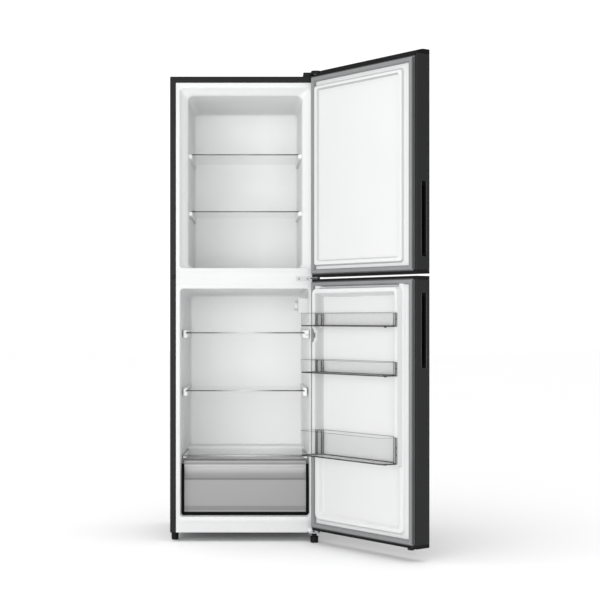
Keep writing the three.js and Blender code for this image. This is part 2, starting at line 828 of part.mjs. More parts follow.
// A flanged plastic sleeve that turns on the hinge pin.
function bush(z0) {
  const profile = [
    [PIN.r + GAP, z0 - 1.6],
    [9.5, z0 - 1.6],
    [9.5, z0 - GAP],
    [7, z0 - GAP],
    [7, z0 + CAP + 2],
    [PIN.r + GAP, z0 + CAP + 2],
  ];
  return lathe(profile, 0, 0, 14);
}

// A bin that hangs between the ribs and widens over them; its front leans in towards the bottom.
function bin(z0, z1) {
  const over = RIB_TOP + 0.6;
  const plan = (t, lean) =>
    outline([
      [-60.5 - t, 15 + t],
      [-42.3 - t, over + t],
      [-37.5 - t, over + t],
      [-31.5 - t, 104 - t - lean],
      [-459 + t, 104 - t - lean],
      [-467.5 + t, over + t],
      [-458.6 + t, over + t],
      [-441.2 + t, 15 + t],
    ]);
  const wall = 2.2;
  const lean = (z1 - z0) / 16;
  const tub = taperedTub(plan, lean, z0, z1);
  return tub.subtract(taperedTub((t, l) => plan(wall + t, l), lean, z0 + wall, z1 + 5));
}

function taperedTub(plan, lean, z0, z1) {
  const low = plan(0, lean).getPoints();
  const high = plan(0, 0).getPoints();
  const g = extrude(outline(low.map((p) => [p.x, p.y])), z1 - z0).translate(0, 0, z0);
  const p = g.attributes.position;
  for (let i = 0; i < p.count; i++) {
    if (p.getZ(i) < z1 - 1) continue;
    const k = low.findIndex((q) => Math.hypot(q.x - p.getX(i), q.y - p.getY(i)) < 1e-3);
    p.setXY(i, high[k].x, high[k].y);
  }
  return solid(g);
}

// ---------------------------------------------------------------- shelves and drawer

function glassShelf(half, y0, y1, z) {
  return backward(outline([[-half, z], [half, z], [half, z + GLASS], [-half, z + GLASS]]), y0, y1);
}

function crisperCover() {
  const plan = outline([
    [-231, 56],
    [231, 56],
    [222.5, 342],
    [-222.5, 342],
  ]);
  return upright(plan, COVER_Z, COVER_Z + 4);
}

const DRAWER = { front: 45, back: 288, z0: 92.5, z1: 294, side: 214 };

// The front is a top rail, a hollowed pull and a flat lower panel.
const DRAWER_FRONT = [
  [45, 103],
  [45, 221],
  [52, 234],
  [55, 250],
  [51, 264],
  [46, 271],
  [45, 275],
  [45, 294],
  [48, 294],
  [48, 275.5],
  [54, 266],
  [58.3, 250],
  [55, 232.5],
  [48.2, 220],
  [48.2, 103],
];

function crisperDrawer() {
  const face = across(outline(DRAWER_FRONT), -222.6, 222.6);
  const { z0, z1, side, back } = DRAWER;
  const tub = box(-side, side, 46, back, z0, z1 - 3);
  const inside = box(-side + 2.5, side - 2.5, 43, back - 2.5, z0 + 2.5, z1 + 5);
  const walls = tub.subtract(inside);
  const behindFace = across(
    outline([...DRAWER_FRONT.slice(0, 8), [30, 294], [30, 80], [45, 80]]),
    -225,
    225,
  );
  return walls.subtract(behindFace).add(face).add(box(-222.6, 222.6, 45, 48.2, z0, 104));
}

// The black frame that edges the drawer's front.
function crisperTrim() {
  const shape = outline([
    [-232.4, 278],
    [-232.4, 96],
    [-228, 91],
    [228, 91],
    [232.4, 96],
    [232.4, 278],
    [223, 278],
    [223, 102.5],
    [-223, 102.5],
    [-223, 278],
  ]);
  const frame = backward(shape, 43, 50);
  return frame.subtract(box(-222.9, 222.9, 44.7, 52, 80, 102.8));
}

// ---------------------------------------------------------------- controls

function thermostatHousing() {
  const shell = box(196, MOUTH, 102, 196, 831, 885);
  const inside = box(198.5, MOUTH, 104.5, 220, 833.5, 882.5);
  const roomOnly = fridgeSpace(-GAP, -GAP);
  const hole = rodAlongX(136, 858, 4.6, 190, 202, 12);
  return shell.intersect(roomOnly).subtract(inside).subtract(hole);
}

function thermostatKnob() {
  const disc = rodAlongX(136, 858, 18, 183, 195.6, 24);
  const bar = box(179.5, 184, 132.5, 139.5, 842, 874);
  return disc.add(bar).add(rodAlongX(136, 858, 4, 195, 204, 12));
}

function lamp() {
  const g = new THREE.SphereGeometry(11, 12, 8).scale(1, 1.35, 1).translate(213, 168, 858);
  return solid(g).add(rodAlongY(213, 858, 6, 176, 190, 12)).add(box(199, 220, 188, 191, 848, 868));
}

function switchPlunger() {
  const stem = rodAlongY(PLUNGER.x, PLUNGER.z, PLUNGER.r, -1, 36, 10);
  return stem.add(rodAlongY(PLUNGER.x, PLUNGER.z, 5.5, -5.5, -0.9, 10));
}

// ---------------------------------------------------------------- assembly

add("outer_case", outerCase(), PAINT);
add("back_panel", box(-caseInner + GAP, caseInner - GAP, DEPTH - SHEET, DEPTH, 272.3, TOP - SHEET - GAP), ZINC);
add("cabinet_foam", cabinetFoam(), FOAM);
add("freezer_liner", freezerLiner(), WHITE);
add("fridge_liner", fridgeLiner(), WHITE);
const beamPlate = box(-LINER_EDGE, LINER_EDGE, 0, LINER, BEAM_BOTTOM, BEAM_TOP);
const beamHoles = SCREW_X.map((x) => rodAlongY(x, SCREW_Z, 2.6, -2, 4, 8));
add("beam_cover", beamPlate.subtract(beamHoles[0]).subtract(beamHoles[1]), WHITE);
const railLip = box(-LINER_EDGE, LINER_EDGE, 1, 22, BOTTOM + GAP, BOTTOM + 2);
add("kick_rail", box(-LINER_EDGE, LINER_EDGE, 0, LINER, BOTTOM + GAP, RAIL_TOP - 0.2).add(railLip), WHITE);
add("base_frame", baseFrame(), ZINC);
add("compressor", compressor(), BLACK_STEEL);
for (const [i, y] of MOUNT_Y.entries()) {
  const row = i ? "rear" : "front";
  add("compressor_mount_left_" + row, mount(-MOUNT_X, y), BLACK_RUBBER);
  add("compressor_mount_right_" + row, mount(MOUNT_X, y), BLACK_RUBBER);
}
add("condenser", condenser(), BLACK_STEEL);
const e = EVAPORATOR;
add("evaporator", box(-e.x, e.x, e.y0, e.y1, e.z0, e.z1), ALUMINIUM);
add("top_hinge_bracket", topHingeBracket(), ZINC);
add("top_hinge_pin", pin(1672, TOP + 4, TOP + 3.6), ZINC);
add("top_hinge_cover", topHingeCover(), BLACK);
add("middle_hinge_bracket", middleHingeBracket(), ZINC);
add("middle_hinge_pin", post(PIN.x, PIN.y, PIN.r, 940, 973, 16), ZINC);
add("middle_hinge_screw_left", screw(SCREW_X[0]), ZINC);
add("middle_hinge_screw_right", screw(SCREW_X[1]), ZINC);
add("lower_hinge_bracket", lowerHingeBracket(), ZINC);
const collar = post(PIN.x, PIN.y, 7.5, 39 + GAP, 43.9, 16);
add("lower_hinge_pin", post(PIN.x, PIN.y, PIN.r, 34, 60, 16).add(collar), ZINC);
const plugDome = [
  [0, 0],
  [7.2, 0],
  [5.6, 1.8],
  [0, 2.4],
];
const plugLathe = new THREE.LatheGeometry(
  [...plugDome, plugDome[0]].map(([r, z]) => new THREE.Vector2(r, z)),
  16,
);
const plugHead = solid(plugLathe.rotateX(Math.PI).translate(-258.8, -GAP, 961.4));
add("hinge_hole_plug", plugHead.add(rodAlongY(-258.8, 961.4, 4.2, -GAP - 0.1, 8, 10)), BLACK);
add("thermostat_housing", thermostatHousing(), WHITE);
add("thermostat_knob", thermostatKnob(), WHITE);
add("lamp", lamp(), CLEAR_GLASS);
add("light_switch", switchPlunger(), WHITE);
add("levelling_foot_left", foot(FOOT_LEFT.x, FOOT_LEFT.y, 72, 14, 31), BLACK);
add("levelling_foot_right", foot(FOOT_RIGHT.x, FOOT_RIGHT.y, 42, 15.2, 23.5), BLACK);
add("rear_roller_left", roller(-252.4), BLACK);
add("rear_roller_right", roller(252.4), BLACK);
add("freezer_shelf_lower", glassShelf(203, 104, 432, FREEZER_SHELF_Z[0]), CLEAR_GLASS);
add("freezer_shelf_upper", glassShelf(203, 104, 432, FREEZER_SHELF_Z[1]), CLEAR_GLASS);
add("fridge_shelf_lower", glassShelf(219, 92, 432, FRIDGE_SHELF_Z[0]), CLEAR_GLASS);
add("fridge_shelf_upper", glassShelf(219, 92, 432, FRIDGE_SHELF_Z[1]), CLEAR_GLASS);
add("crisper_cover", crisperCover(), CLEAR_GLASS);
add("crisper_drawer", crisperDrawer(), SMOKE_PLASTIC);
add("crisper_drawer_trim", crisperTrim(), BLACK);

for (const [name, d] of [
  ["freezer_door", FREEZER_DOOR],
  ["fridge_door", FRIDGE_DOOR],
]) {
  add(name + "_skin", doorSkin(d), PAINT, openDoors);
  add(name + "_foam", doorFoam(d), FOAM, openDoors);
  add(name + "_grip", grip(d), BLACK, openDoors);
  add(name + "_bottom_cap", plainCap(d.z0, 7.3), BLACK, openDoors);
  add(name + "_bush", bush(d.z0), WHITE, openDoors);
}
add("freezer_door_top_cap", freezerTopCap(), BLACK, openDoors);
add("fridge_door_top_cap", plainCap(FRIDGE_DOOR.z1 - CAP, PIN.r + GAP), BLACK, openDoors);
add("freezer_door_liner", freezerDoorLiner(), WHITE, openDoors);
add("fridge_door_liner", fridgeDoorLiner(), WHITE, openDoors);
add("freezer_door_gasket", gasket(968.6, 1682), RUBBER, openDoors);
add("fridge_door_gasket", gasket(55.6, 944), RUBBER, openDoors);
const stop = [
  [0, 36.8],
  [10.5, 36.8],
  [12, 38.3],
  [12, 45.5],
  [0, 45.5],
];
add("door_stop", lathe(stop, -486, -6, 16), BLACK_RUBBER, openDoors);
for (const { name, z0, z1 } of BINS) add(name, bin(z0, z1), CLEAR_PLASTIC, openDoors);

// The origin is the middle of the whole object's footprint, on the floor.
group.updateMatrixWorld(true);
const bounds = new THREE.Box3().setFromObject(group, true);
group.position.set(-(bounds.min.x + bounds.max.x) / 2, -(bounds.min.y + bounds.max.y) / 2, -bounds.min.z);

export default group;
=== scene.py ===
"""A top freezer refrigerator with both doors open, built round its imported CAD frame.

Shapes are laid out in millimetres in two spaces: the cabinet's, with x 0 in its middle, y 0 at its front
flange and z 0 on the floor, and the doors', with x 0, y 0 on the hinge pins and x running away from the
handle while the door is closed. CABINET and DOOR turn those into the frame's metres.
"""

import json
import math

import bmesh
import bpy
from mathutils import Matrix, Vector

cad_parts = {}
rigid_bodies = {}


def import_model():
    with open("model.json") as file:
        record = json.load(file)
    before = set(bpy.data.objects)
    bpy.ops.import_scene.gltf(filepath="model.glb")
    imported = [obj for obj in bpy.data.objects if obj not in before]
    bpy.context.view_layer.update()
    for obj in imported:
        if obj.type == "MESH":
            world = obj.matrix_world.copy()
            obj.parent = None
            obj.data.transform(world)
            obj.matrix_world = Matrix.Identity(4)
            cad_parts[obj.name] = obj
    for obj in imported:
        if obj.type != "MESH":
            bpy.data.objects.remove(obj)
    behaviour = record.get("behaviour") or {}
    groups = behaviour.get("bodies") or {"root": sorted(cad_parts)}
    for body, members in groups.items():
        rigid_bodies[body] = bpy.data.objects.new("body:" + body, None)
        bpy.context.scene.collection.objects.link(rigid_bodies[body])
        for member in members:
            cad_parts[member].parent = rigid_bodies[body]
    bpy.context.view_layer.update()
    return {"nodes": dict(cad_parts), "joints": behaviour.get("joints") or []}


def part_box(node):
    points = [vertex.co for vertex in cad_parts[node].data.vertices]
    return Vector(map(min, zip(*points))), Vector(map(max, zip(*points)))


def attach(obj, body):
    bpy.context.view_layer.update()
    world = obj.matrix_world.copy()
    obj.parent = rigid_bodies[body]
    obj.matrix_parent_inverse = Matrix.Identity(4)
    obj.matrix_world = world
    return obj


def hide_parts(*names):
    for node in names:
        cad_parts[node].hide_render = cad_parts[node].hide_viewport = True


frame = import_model()
NODES = frame["nodes"]
JOINTS = {j["name"]: j for j in frame["joints"]}

MM = 0.001
CASE_LOW, CASE_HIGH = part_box("outer_case")
MIDDLE = (CASE_LOW.x + CASE_HIGH.x) / 2
FRONT = CASE_LOW.y
SWING = JOINTS["fridge_door_swing"]
PIN = Vector((SWING["pos_m"][0], SWING["pos_m"][1], 0))
OPEN = math.radians(-SWING["range_deg"][0])

SCALE = Matrix.Scale(MM, 4)
CABINET = Matrix.Translation((MIDDLE, FRONT, 0)) @ SCALE
DOOR = Matrix.Translation(PIN) @ Matrix.Rotation(OPEN, 4, "Z") @ SCALE

# ------------------------------------------------------------------ camera, floor and light

CAMERA_AT = CABINET @ Vector((43.44, -5106.0, 811.0))
LENS = 84.32
LENS_SHIFT = (0.0717, 0.0307)


def make_camera():
    data = bpy.data.cameras.new("camera")
    data.sensor_width = 36
    data.lens = LENS
    data.shift_x, data.shift_y = LENS_SHIFT
    data.clip_end = 60
    camera = bpy.data.objects.new("camera", data)
    camera.location = CAMERA_AT
    camera.rotation_euler = (math.pi / 2, 0, 0)
    bpy.context.scene.collection.objects.link(camera)
    bpy.context.scene.camera = camera


def area_light(name, at, target, size, power):
    data = bpy.data.lights.new(name, "AREA")
    data.shape = "RECTANGLE"
    data.size, data.size_y = size
    data.energy = power
    light = bpy.data.objects.new(name, data)
    light.location = at
    light.rotation_euler = (Vector(target) - Vector(at)).to_track_quat("-Z", "Y").to_euler()
    bpy.context.scene.collection.objects.link(light)


# The studio's brightness by direction: axis, the span of directions, and the strength at its two ends.
STUDIO_LIGHT = (("Y", 0.7, 0.95, 0.5, 1.12), ("Z", 0.45, 0.85, 0, 0.95), ("X", -0.8, 0.8, 0.25, -0.25))


SOFTBOX_AT = (-1.2, -5.0, 1.2)
SOFTBOX_AIM = (-0.17, 0.2, 0.8)
SOFTBOX_SIZE = (6.4, 2.4)
SOFTBOX_WATTS = 196
FLOOR_HALF = 30


def make_stage():
    """A pale paper floor under a soft studio sky and one wide softbox in front."""
    world = bpy.data.worlds.new("studio")
    world.use_nodes = True
    tree = world.node_tree
    background = tree.nodes["Background"]
    background.inputs["Color"].default_value = (1, 1, 1, 1)
    coord = tree.nodes.new("ShaderNodeTexCoord")
    way = tree.nodes.new("ShaderNodeSeparateXYZ")
    tree.links.new(coord.outputs["Generated"], way.inputs["Vector"])
    total = None
    for axis, start, end, low, high in STUDIO_LIGHT:
        span = tree.nodes.new("ShaderNodeMapRange")
        for key, value in (("From Min", start), ("From Max", end), ("To Min", low), ("To Max", high)):
            span.inputs[key].default_value = value
        tree.links.new(way.outputs[axis], span.inputs["Value"])
        if total is None:
            total = span.outputs["Result"]
            continue
        both = tree.nodes.new("ShaderNodeMath")
        tree.links.new(total, both.inputs[0])
        tree.links.new(span.outputs["Result"], both.inputs[1])
        total = both.outputs["Value"]
    tree.links.new(total, background.inputs["Strength"])
    bpy.context.scene.world = world
    bpy.context.scene.view_settings.view_transform = "Standard"

    area_light("front_softbox", SOFTBOX_AT, SOFTBOX_AIM, SOFTBOX_SIZE, SOFTBOX_WATTS)

    bm = bmesh.new()
    bmesh.ops.create_grid(bm, x_segments=1, y_segments=1, size=FLOOR_HALF)
    floor = new_object("studio_floor", bm, Matrix.Identity(4))
    floor.data.materials.append(FLOOR)


# ------------------------------------------------------------------ materials


class Look:
    """A node material on one Principled shader."""

    def __init__(self, name, color, roughness, metallic=0.0, **more):
        self.material = bpy.data.materials.new(name)
        self.material.use_nodes = True
        self.tree = self.material.node_tree
        self.shader = self.tree.nodes["Principled BSDF"]
        self.color = color
        settings = {"Base Color": (*color, 1), "Roughness": roughness, "Metallic": metallic, **more}
        for key, value in settings.items():
            self.shader.inputs[key.replace("_", " ")].default_value = value

    def node(self, kind, **values):
        made = self.tree.nodes.new(kind)
        for key, value in values.items():
            made.inputs[key.replace("_", " ")].default_value = value
        return made

    def link(self, a, b):
        self.tree.links.new(a, b)

    def drive(self, socket, source):
        """Feeds one of the shader's sockets from another node."""
        self.link(source, self.shader.inputs[socket])
        return self

    def feeding(self, socket):
        """The output that feeds one of the shader's sockets."""
        return self.shader.inputs[socket].links[0].from_socket

    def split(self, kind, output):
        """The X, Y and Z outputs of a new node's vector."""
        parts = self.node("ShaderNodeSeparateXYZ")
        self.link(self.node(kind).outputs[output], parts.inputs["Vector"])
        return parts.outputs

    def span(self, source, start, end, low=0.0, high=1.0):
        """Maps start to end onto low to high."""
        made = self.node("ShaderNodeMapRange", From_Min=start, From_Max=end, To_Min=low, To_Max=high)
        self.link(source, made.inputs["Value"])
        return made.outputs["Result"]

    def ramp(self, source, stops):
        """Colours by position, from stops of (position, colour)."""
        made = self.node("ShaderNodeValToRGB")
        elements = made.color_ramp.elements
        elements.remove(elements[1])
        elements[0].position = stops[0][0]
        elements[0].color = (*stops[0][1], 1)
        for position, color in stops[1:]:
            elements.new(position).color = (*color, 1)
        self.link(source, made.inputs["Fac"])
        return made.outputs["Color"]

    def maths(self, operation, *values):
        """One operation on outputs and plain numbers."""
        made = self.node("ShaderNodeMath")
        made.operation = operation
        for socket, value in zip(made.inputs, values):
            if isinstance(value, float):
                socket.default_value = value
            else:
                self.link(value, socket)
        return made.outputs["Value"]

    def mix(self, kind, factor, a, b):
        """Goes from the output a to b, an output or a number, as factor goes from 0 to 1."""
        made = self.node("ShaderNodeMix")
        made.data_type = kind
        self.link(factor, made.inputs["Factor"])
        self.link(a, made.inputs["A"])
        if isinstance(b, float):
            made.inputs["B"].default_value = b
        else:
            self.link(b, made.inputs["B"])
        return made.outputs["Result"]

    def noise(self, scale, detail=3.0, stretch=(1, 1, 1)):
        """Noise in object coordinates, stretched along chosen axes."""
        mapping = self.node("ShaderNodeMapping", Scale=stretch)
        self.link(self.node("ShaderNodeTexCoord").outputs["Object"], mapping.inputs["Vector"])
        made = self.node("ShaderNodeTexNoise", Scale=scale, Detail=detail)
        self.link(mapping.outputs["Vector"], made.inputs["Vector"])
        return made.outputs["Fac"]

    def mottle(self, scale, amount):
        """The base colour drifts a little lighter and darker."""
        low = [c * (1 - amount) for c in self.color]
        high = [min(1, c * (1 + amount)) for c in self.color]
        return self.drive("Base Color", self.ramp(self.noise(scale), ((0.3, low), (0.7, high))))

    def scuff(self, scale, low, high):
        """The roughness drifts between low and high."""
        return self.drive("Roughness", self.span(self.noise(scale), 0.3, 0.7, low, high))

    def bump(self, scale, depth, detail=2.0, stretch=(1, 1, 1)):
        """Fine relief of about depth metres. Bumps chain, so it can be called for coarse then fine."""
        made = self.node("ShaderNodeBump", Strength=1.0, Distance=depth)
        self.link(self.noise(scale, detail, stretch), made.inputs["Height"])
        if self.shader.inputs["Normal"].links:
            self.link(self.feeding("Normal"), made.inputs["Normal"])
        return self.drive("Normal", made.outputs["Normal"])

    def front_of(self, y, color):
        """Another colour on everything in front of a plane across the cabinet."""
        along = self.split("ShaderNodeNewGeometry", "Position")["Y"]
        front = self.span(along, y + 0.0002, y - 0.0002)
        speckle = self.ramp(self.noise(60), ((0, color), (1, [c * 1.3 for c in color])))
        return self.drive("Base Color", self.mix("RGBA", front, self.feeding("Base Color"), speckle))


def grey(v):
    """A linear grey from an sRGB level from 0 to 255."""
    s = v / 255
    s = s / 12.92 if s <= 0.04045 else ((s + 0.055) / 1.055) ** 2.4
    return (s, s, s)


def enamel(name, color):
    """Baked paint on steel."""
    made = Look(name, color, 0.5, Specular_IOR_Level=0.15).mottle(5, 0.03).scuff(14, 0.46, 0.52)
    return made.bump(420, 0.00006).bump(1800, 0.00002).material


def near_white(level):
    """A white with a trace of blue."""
    return (level, level + 0.002, level + 0.005)


def formed_white(name, level):
    """Vacuum-formed white sheet."""
    made = Look(name, near_white(level), 0.36, Specular_IOR_Level=0.4).mottle(2.2, 0.012)
    return made.scuff(9, 0.32, 0.42).bump(24, 0.00012).bump(900, 0.000012).material


def painted_shade_white(name, level):
    """A darker copy of the same sheet: painted shade for where it is flat or steep."""
    return Look(name, near_white(level), 0.36).mottle(2.2, 0.012).bump(24, 0.00012).material


def moulded_black(name, color, roughness, gloss, low, high):
    """Black plastic with a fine grain, its roughness between low and high."""
    made = Look(name, color, roughness, Specular_IOR_Level=gloss).mottle(9, 0.12)
    return made.scuff(26, low, high).bump(1500, 0.00004).material


PAINT = enamel("enamelled_steel", (0.0095, 0.0098, 0.0103))
DOOR_PAINT = enamel("enamelled_door_steel", (0.018, 0.0183, 0.019))
# Three copies of one white sheet at different levels: painted light and shade that even out how brightly
# the fridge liner, the freezer liner and the doors' panels are lit.
WHITE = formed_white("formed_white_sheet", 0.775)
FREEZER_WHITE = formed_white("formed_white_freezer_sheet", 0.71)
DOOR_WHITE = formed_white("formed_white_door_sheet", 0.61)
# Painted shade: darker copies of the white sheet for the liners' front flanges and the door panels'
# slopes.
FLANGE_SHADE_WHITE = painted_shade_white("white_sheet_flange_painted_shade", 0.57)
FLANK_SHADE_WHITE = painted_shade_white("white_sheet_slope_painted_shade", 0.5)
STEEP_SHADE_WHITE = painted_shade_white("white_sheet_steep_painted_shade", 0.4)
BLACK = moulded_black("moulded_black", (0.0045, 0.0045, 0.005), 0.5, 0.16, 0.44, 0.58)
PITCH_BLACK = moulded_black("deep_black_plastic", (0.0022, 0.0022, 0.0024), 0.6, 0.06, 0.52, 0.66)
WHITE_MOULDED = (
    Look("moulded_white", (0.575, 0.577, 0.58), 0.42, Specular_IOR_Level=0.4)
    .mottle(6, 0.015)
    .scuff(20, 0.38, 0.46)
    .bump(1400, 0.00002)
    .material
)
GLOSS_BLACK = (
    Look("glossy_black_plastic", (0.012, 0.012, 0.013), 0.3).mottle(9, 0.1).scuff(26, 0.26, 0.36).material
)
BLACK_RUBBER = Look("black_rubber", (0.01, 0.01, 0.01), 0.8).mottle(40, 0.15).bump(900, 0.00006).material
SEAL = (
    Look("grey_seal", (0.2, 0.202, 0.206), 0.66, Specular_IOR_Level=0.3, Sheen_Weight=0.05)
    .mottle(12, 0.04)
    .scuff(30, 0.6, 0.72)
    .bump(700, 0.00003)
    .material
)
# A darker copy of the seal: painted shade on its outer pleats and on the rim of the door panels.
SEAL_SHADE = (
    Look("grey_seal_painted_shade", (0.075, 0.076, 0.078), 0.75, Specular_IOR_Level=0.1)
    .mottle(12, 0.06)
    .scuff(30, 0.7, 0.8)
    .bump(700, 0.00003)
    .material
)
ZINC = (
    Look("zinc_plate", (0.42, 0.425, 0.435), 0.34, 1.0)
    .mottle(60, 0.14)
    .scuff(90, 0.25, 0.45)
    .bump(400, 0.00002, stretch=(1, 1, 8))
    .material
)
GALVANISED = (
    Look("galvanised_sheet", (0.42, 0.435, 0.445), 0.45, 1.0)
    .mottle(40, 0.08)
    .scuff(60, 0.38, 0.55)
    .bump(160, 0.00002)
    .material
)
BLACK_STEEL = (
    Look("black_enamelled_steel", (0.012, 0.012, 0.013), 0.36, 0.0, Coat_Weight=0.3)
    .mottle(20, 0.12)
    .scuff(30, 0.3, 0.45)
    .bump(300, 0.00005)
    .material
)
COPPER = Look("copper_pipe", (0.72, 0.4, 0.26), 0.32, 1.0).mottle(50, 0.12).scuff(60, 0.25, 0.42).material
ALUMINIUM = (
    Look("rolled_aluminium", (0.62, 0.63, 0.64), 0.4, 1.0).mottle(20, 0.08).bump(500, 0.00002).material
)
FOAM = Look("rigid_foam", (0.72, 0.64, 0.4), 0.95).mottle(45, 0.14).bump(260, 0.0004, 4).material
FLOOR = Look("studio_paper", (0.94, 0.94, 0.94), 0.95).mottle(0.8, 0.004).bump(60, 0.00005).material


def see_through(name, color, roughness, face_on, edge_on, sharpness, start=0.0):
    """Clear plastic or glass: thin where it is seen face on, dense along its edges and curves."""
    made = Look(name, color, roughness, Specular_IOR_Level=0.5).mottle(6, 0.05)
    made.scuff(30, roughness * 0.97, roughness * 1.04)
    weight = made.node("ShaderNodeLayerWeight", Blend=sharpness)
    return made.drive("Alpha", made.span(weight.outputs["Facing"], start, 1, face_on, edge_on))


def rim_painted_glass(name, front, edge_dark, edge_light, reach):
    """A clear plate whose rim is painted dark near both ends and light in the middle of its front: painted
    shade at the ends and a painted reflection in the middle.
    """
    made = see_through(name, (0.6, 0.65, 0.635), 0.05, 0.03, 0.12, 0.3)
    place = made.split("ShaderNodeTexCoord", "Object")
    rim = made.span(place["Y"], FRONT + (front + 1.25) * MM, FRONT + (front + 1.05) * MM)
    sideways = made.maths("ABSOLUTE", made.split("ShaderNodeNewGeometry", "Normal")["X"])
    rims = made.maths("MAXIMUM", rim, made.span(sideways, 0.7, 0.85))
    away = made.maths("ABSOLUTE", made.maths("SUBTRACT", place["X"], MIDDLE))
    spread = made.span(away, reach[0] * MM, reach[1] * MM)
    shade = made.ramp(spread, ((0, [edge_light] * 3), (1, [edge_dark] * 3)))
    made.drive("Base Color", made.mix("RGBA", rims, made.feeding("Base Color"), shade))
    return made.drive("Alpha", made.mix("FLOAT", rims, made.feeding("Alpha"), 0.92)).material


FREEZER_GLASS = rim_painted_glass("freezer_shelf_glass", 104, 0.012, 0.1, (0, 110))
FRIDGE_GLASS = rim_painted_glass("fridge_shelf_glass", 92, 0.015, 0.5, (10, 120))
COVER_GLASS = rim_painted_glass("cover_glass", 56, 0.06, 0.5, (30, 190))
CLEAR = see_through("clear_grey_plastic", (0.4, 0.405, 0.41), 0.2, 0.02, 0.7, 0.3, 0.3).material
SCREW_STEEL = (
    Look("dark_screw_steel", (0.3, 0.3, 0.31), 0.5, 0.6).mottle(90, 0.1).scuff(90, 0.4, 0.6).material
)
PLATE_GREY = (
    Look("painted_hinge_plate", (0.48, 0.483, 0.49), 0.4, Specular_IOR_Level=0.4)
    .mottle(60, 0.03)
    .front_of(FRONT - 0.004, (0.01, 0.01, 0.011))
    .scuff(60, 0.35, 0.45)
    .bump(500, 0.00002)
    .material
)
# Near-black copies of the clear plastic: painted shade on the bins' edge strips, hooks, catches and pegs
# and on the drawer's top edge, where clear plastic looks dark.
SHADED_CLEAR = see_through("clear_plastic_edge_painted_shade", (0.012, 0.0125, 0.013), 0.3, 0.9, 0.98, 0.5).material
SHADED_CLEAR_RIB = see_through("clear_plastic_rib_painted_shade", (0.04, 0.041, 0.042), 0.3, 0.5, 0.8, 0.5).material


def painted_bands(made, bands):
    """Bands of colour up the drawer's face: painted shade and painted highlight across its recess and lip,
    and lighter or darker where its wall is thinner or thicker.
    """
    low, high = bands[0][0], bands[-1][0]
    up = made.span(made.split("ShaderNodeTexCoord", "Object")["Z"], low * MM, high * MM)
    stops = [((z - low) / (high - low), grey(level)) for z, level in bands]
    return made.drive("Base Color", made.ramp(up, stops))


# Height in millimetres and grey level: painted shade and highlight, with darker bands where the wall is
# thicker.
SMOKE_PAINTED_BANDS = [
    (92, 140), (108, 150), (109.5, 130), (124, 134), (125.5, 152), (218, 154), (221, 112), (223.5, 112),
    (226, 136), (240, 146), (258, 188), (270, 198), (275, 190), (276.5, 110), (279, 136), (292, 172),
    (294, 40),
]
SMOKE = painted_bands(see_through("smoke_plastic", grey(170), 0.5, 0.74, 0.92, 0.3), SMOKE_PAINTED_BANDS).material
# A lighter, clearer copy of the smoke plastic for the drawer's sides and back: painted light.
SMOKE_TUB_LIT = see_through("smoke_plastic_tub_painted_light", grey(215), 0.5, 0.5, 0.8, 0.3).material
BULB = (
    Look("bulb_glass", (0.95, 0.95, 0.93), 0.25, Transmission_Weight=0.6, IOR=1.5)
    .mottle(80, 0.03)
    .material
)

# ------------------------------------------------------------------ mesh tools


def new_object(name, bm, space):
    """Turns a bmesh into an object, placed by space."""
    bmesh.ops.transform(bm, matrix=space, verts=bm.verts)
    mesh = bpy.data.meshes.new(name)
    bm.to_mesh(mesh)
    bm.free()
    obj = bpy.data.objects.new(name, mesh)
    bpy.context.scene.collection.objects.link(obj)
    return obj


def smooth(obj, angle=32):
    obj.data.shade_smooth()
    obj.data.set_sharp_from_angle(angle=math.radians(angle))


def bevel(obj, width, segments=2, angle=40):
    made = obj.modifiers.new("edges", "BEVEL")
    made.width = width * MM
    made.segments = segments
    made.limit_method = "ANGLE"
    made.angle_limit = math.radians(angle)
    made.harden_normals = True
    made.miter_outer = "MITER_ARC"
    return obj


def piece(name, bm, space, body, material, replaces=(), rounding=0, segments=2, angle=32):
    """Turns a bmesh in millimetres into a finished piece that rides on a body."""
    bmesh.ops.remove_doubles(bm, verts=bm.verts, dist=1e-4)
    bmesh.ops.recalc_face_normals(bm, faces=bm.faces)
    obj = new_object(name, bm, space)
    obj.data.materials.append(material)
    if rounding:
        obj.data.shade_smooth()
        bevel(obj, rounding, segments)
    else:
        smooth(obj, angle)
    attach(obj, body)
    if replaces:
        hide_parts(*replaces)
    return obj


def dress(node, material, width=0.4, segments=2):
    """A CAD node whose shape is right: its flat facets are joined up and its edges eased."""
    obj = NODES[node]
    obj.data.materials.clear()
    obj.data.materials.append(material)
    weld = obj.modifiers.new("weld", "WELD")
    weld.merge_threshold = 1e-5
    flat = obj.modifiers.new("flat", "DECIMATE")
    flat.decimate_type = "DISSOLVE"
    flat.angle_limit = math.radians(0.6)
    if width:
        bevel(obj, width, segments)
    return obj


def heights(node):
    """The lowest and highest point of a CAD node, in millimetres."""
    low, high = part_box(node)
    return low.z / MM, high.z / MM


def rounded(x0, x1, z0, z1, r, n=6):
    """Points round a rectangle with rounded corners. Every size gives the same number of points."""
    corners = ((x1 - r, z0 + r, -90), (x1 - r, z1 - r, 0), (x0 + r, z1 - r, 90), (x0 + r, z0 + r, 180))
    points = []
    for cx, cz, start in corners:
        for i in range(n + 1):
            t = math.radians(start + 90 * i / n)
            points.append((cx + r * math.cos(t), cz + r * math.sin(t)))
    return points


def arc(cx, cy, r, start, end, n=6):
    turn = [math.radians(start + (end - start) * i / n) for i in range(n + 1)]
    return [(cx + r * math.cos(t), cy + r * math.sin(t)) for t in turn]


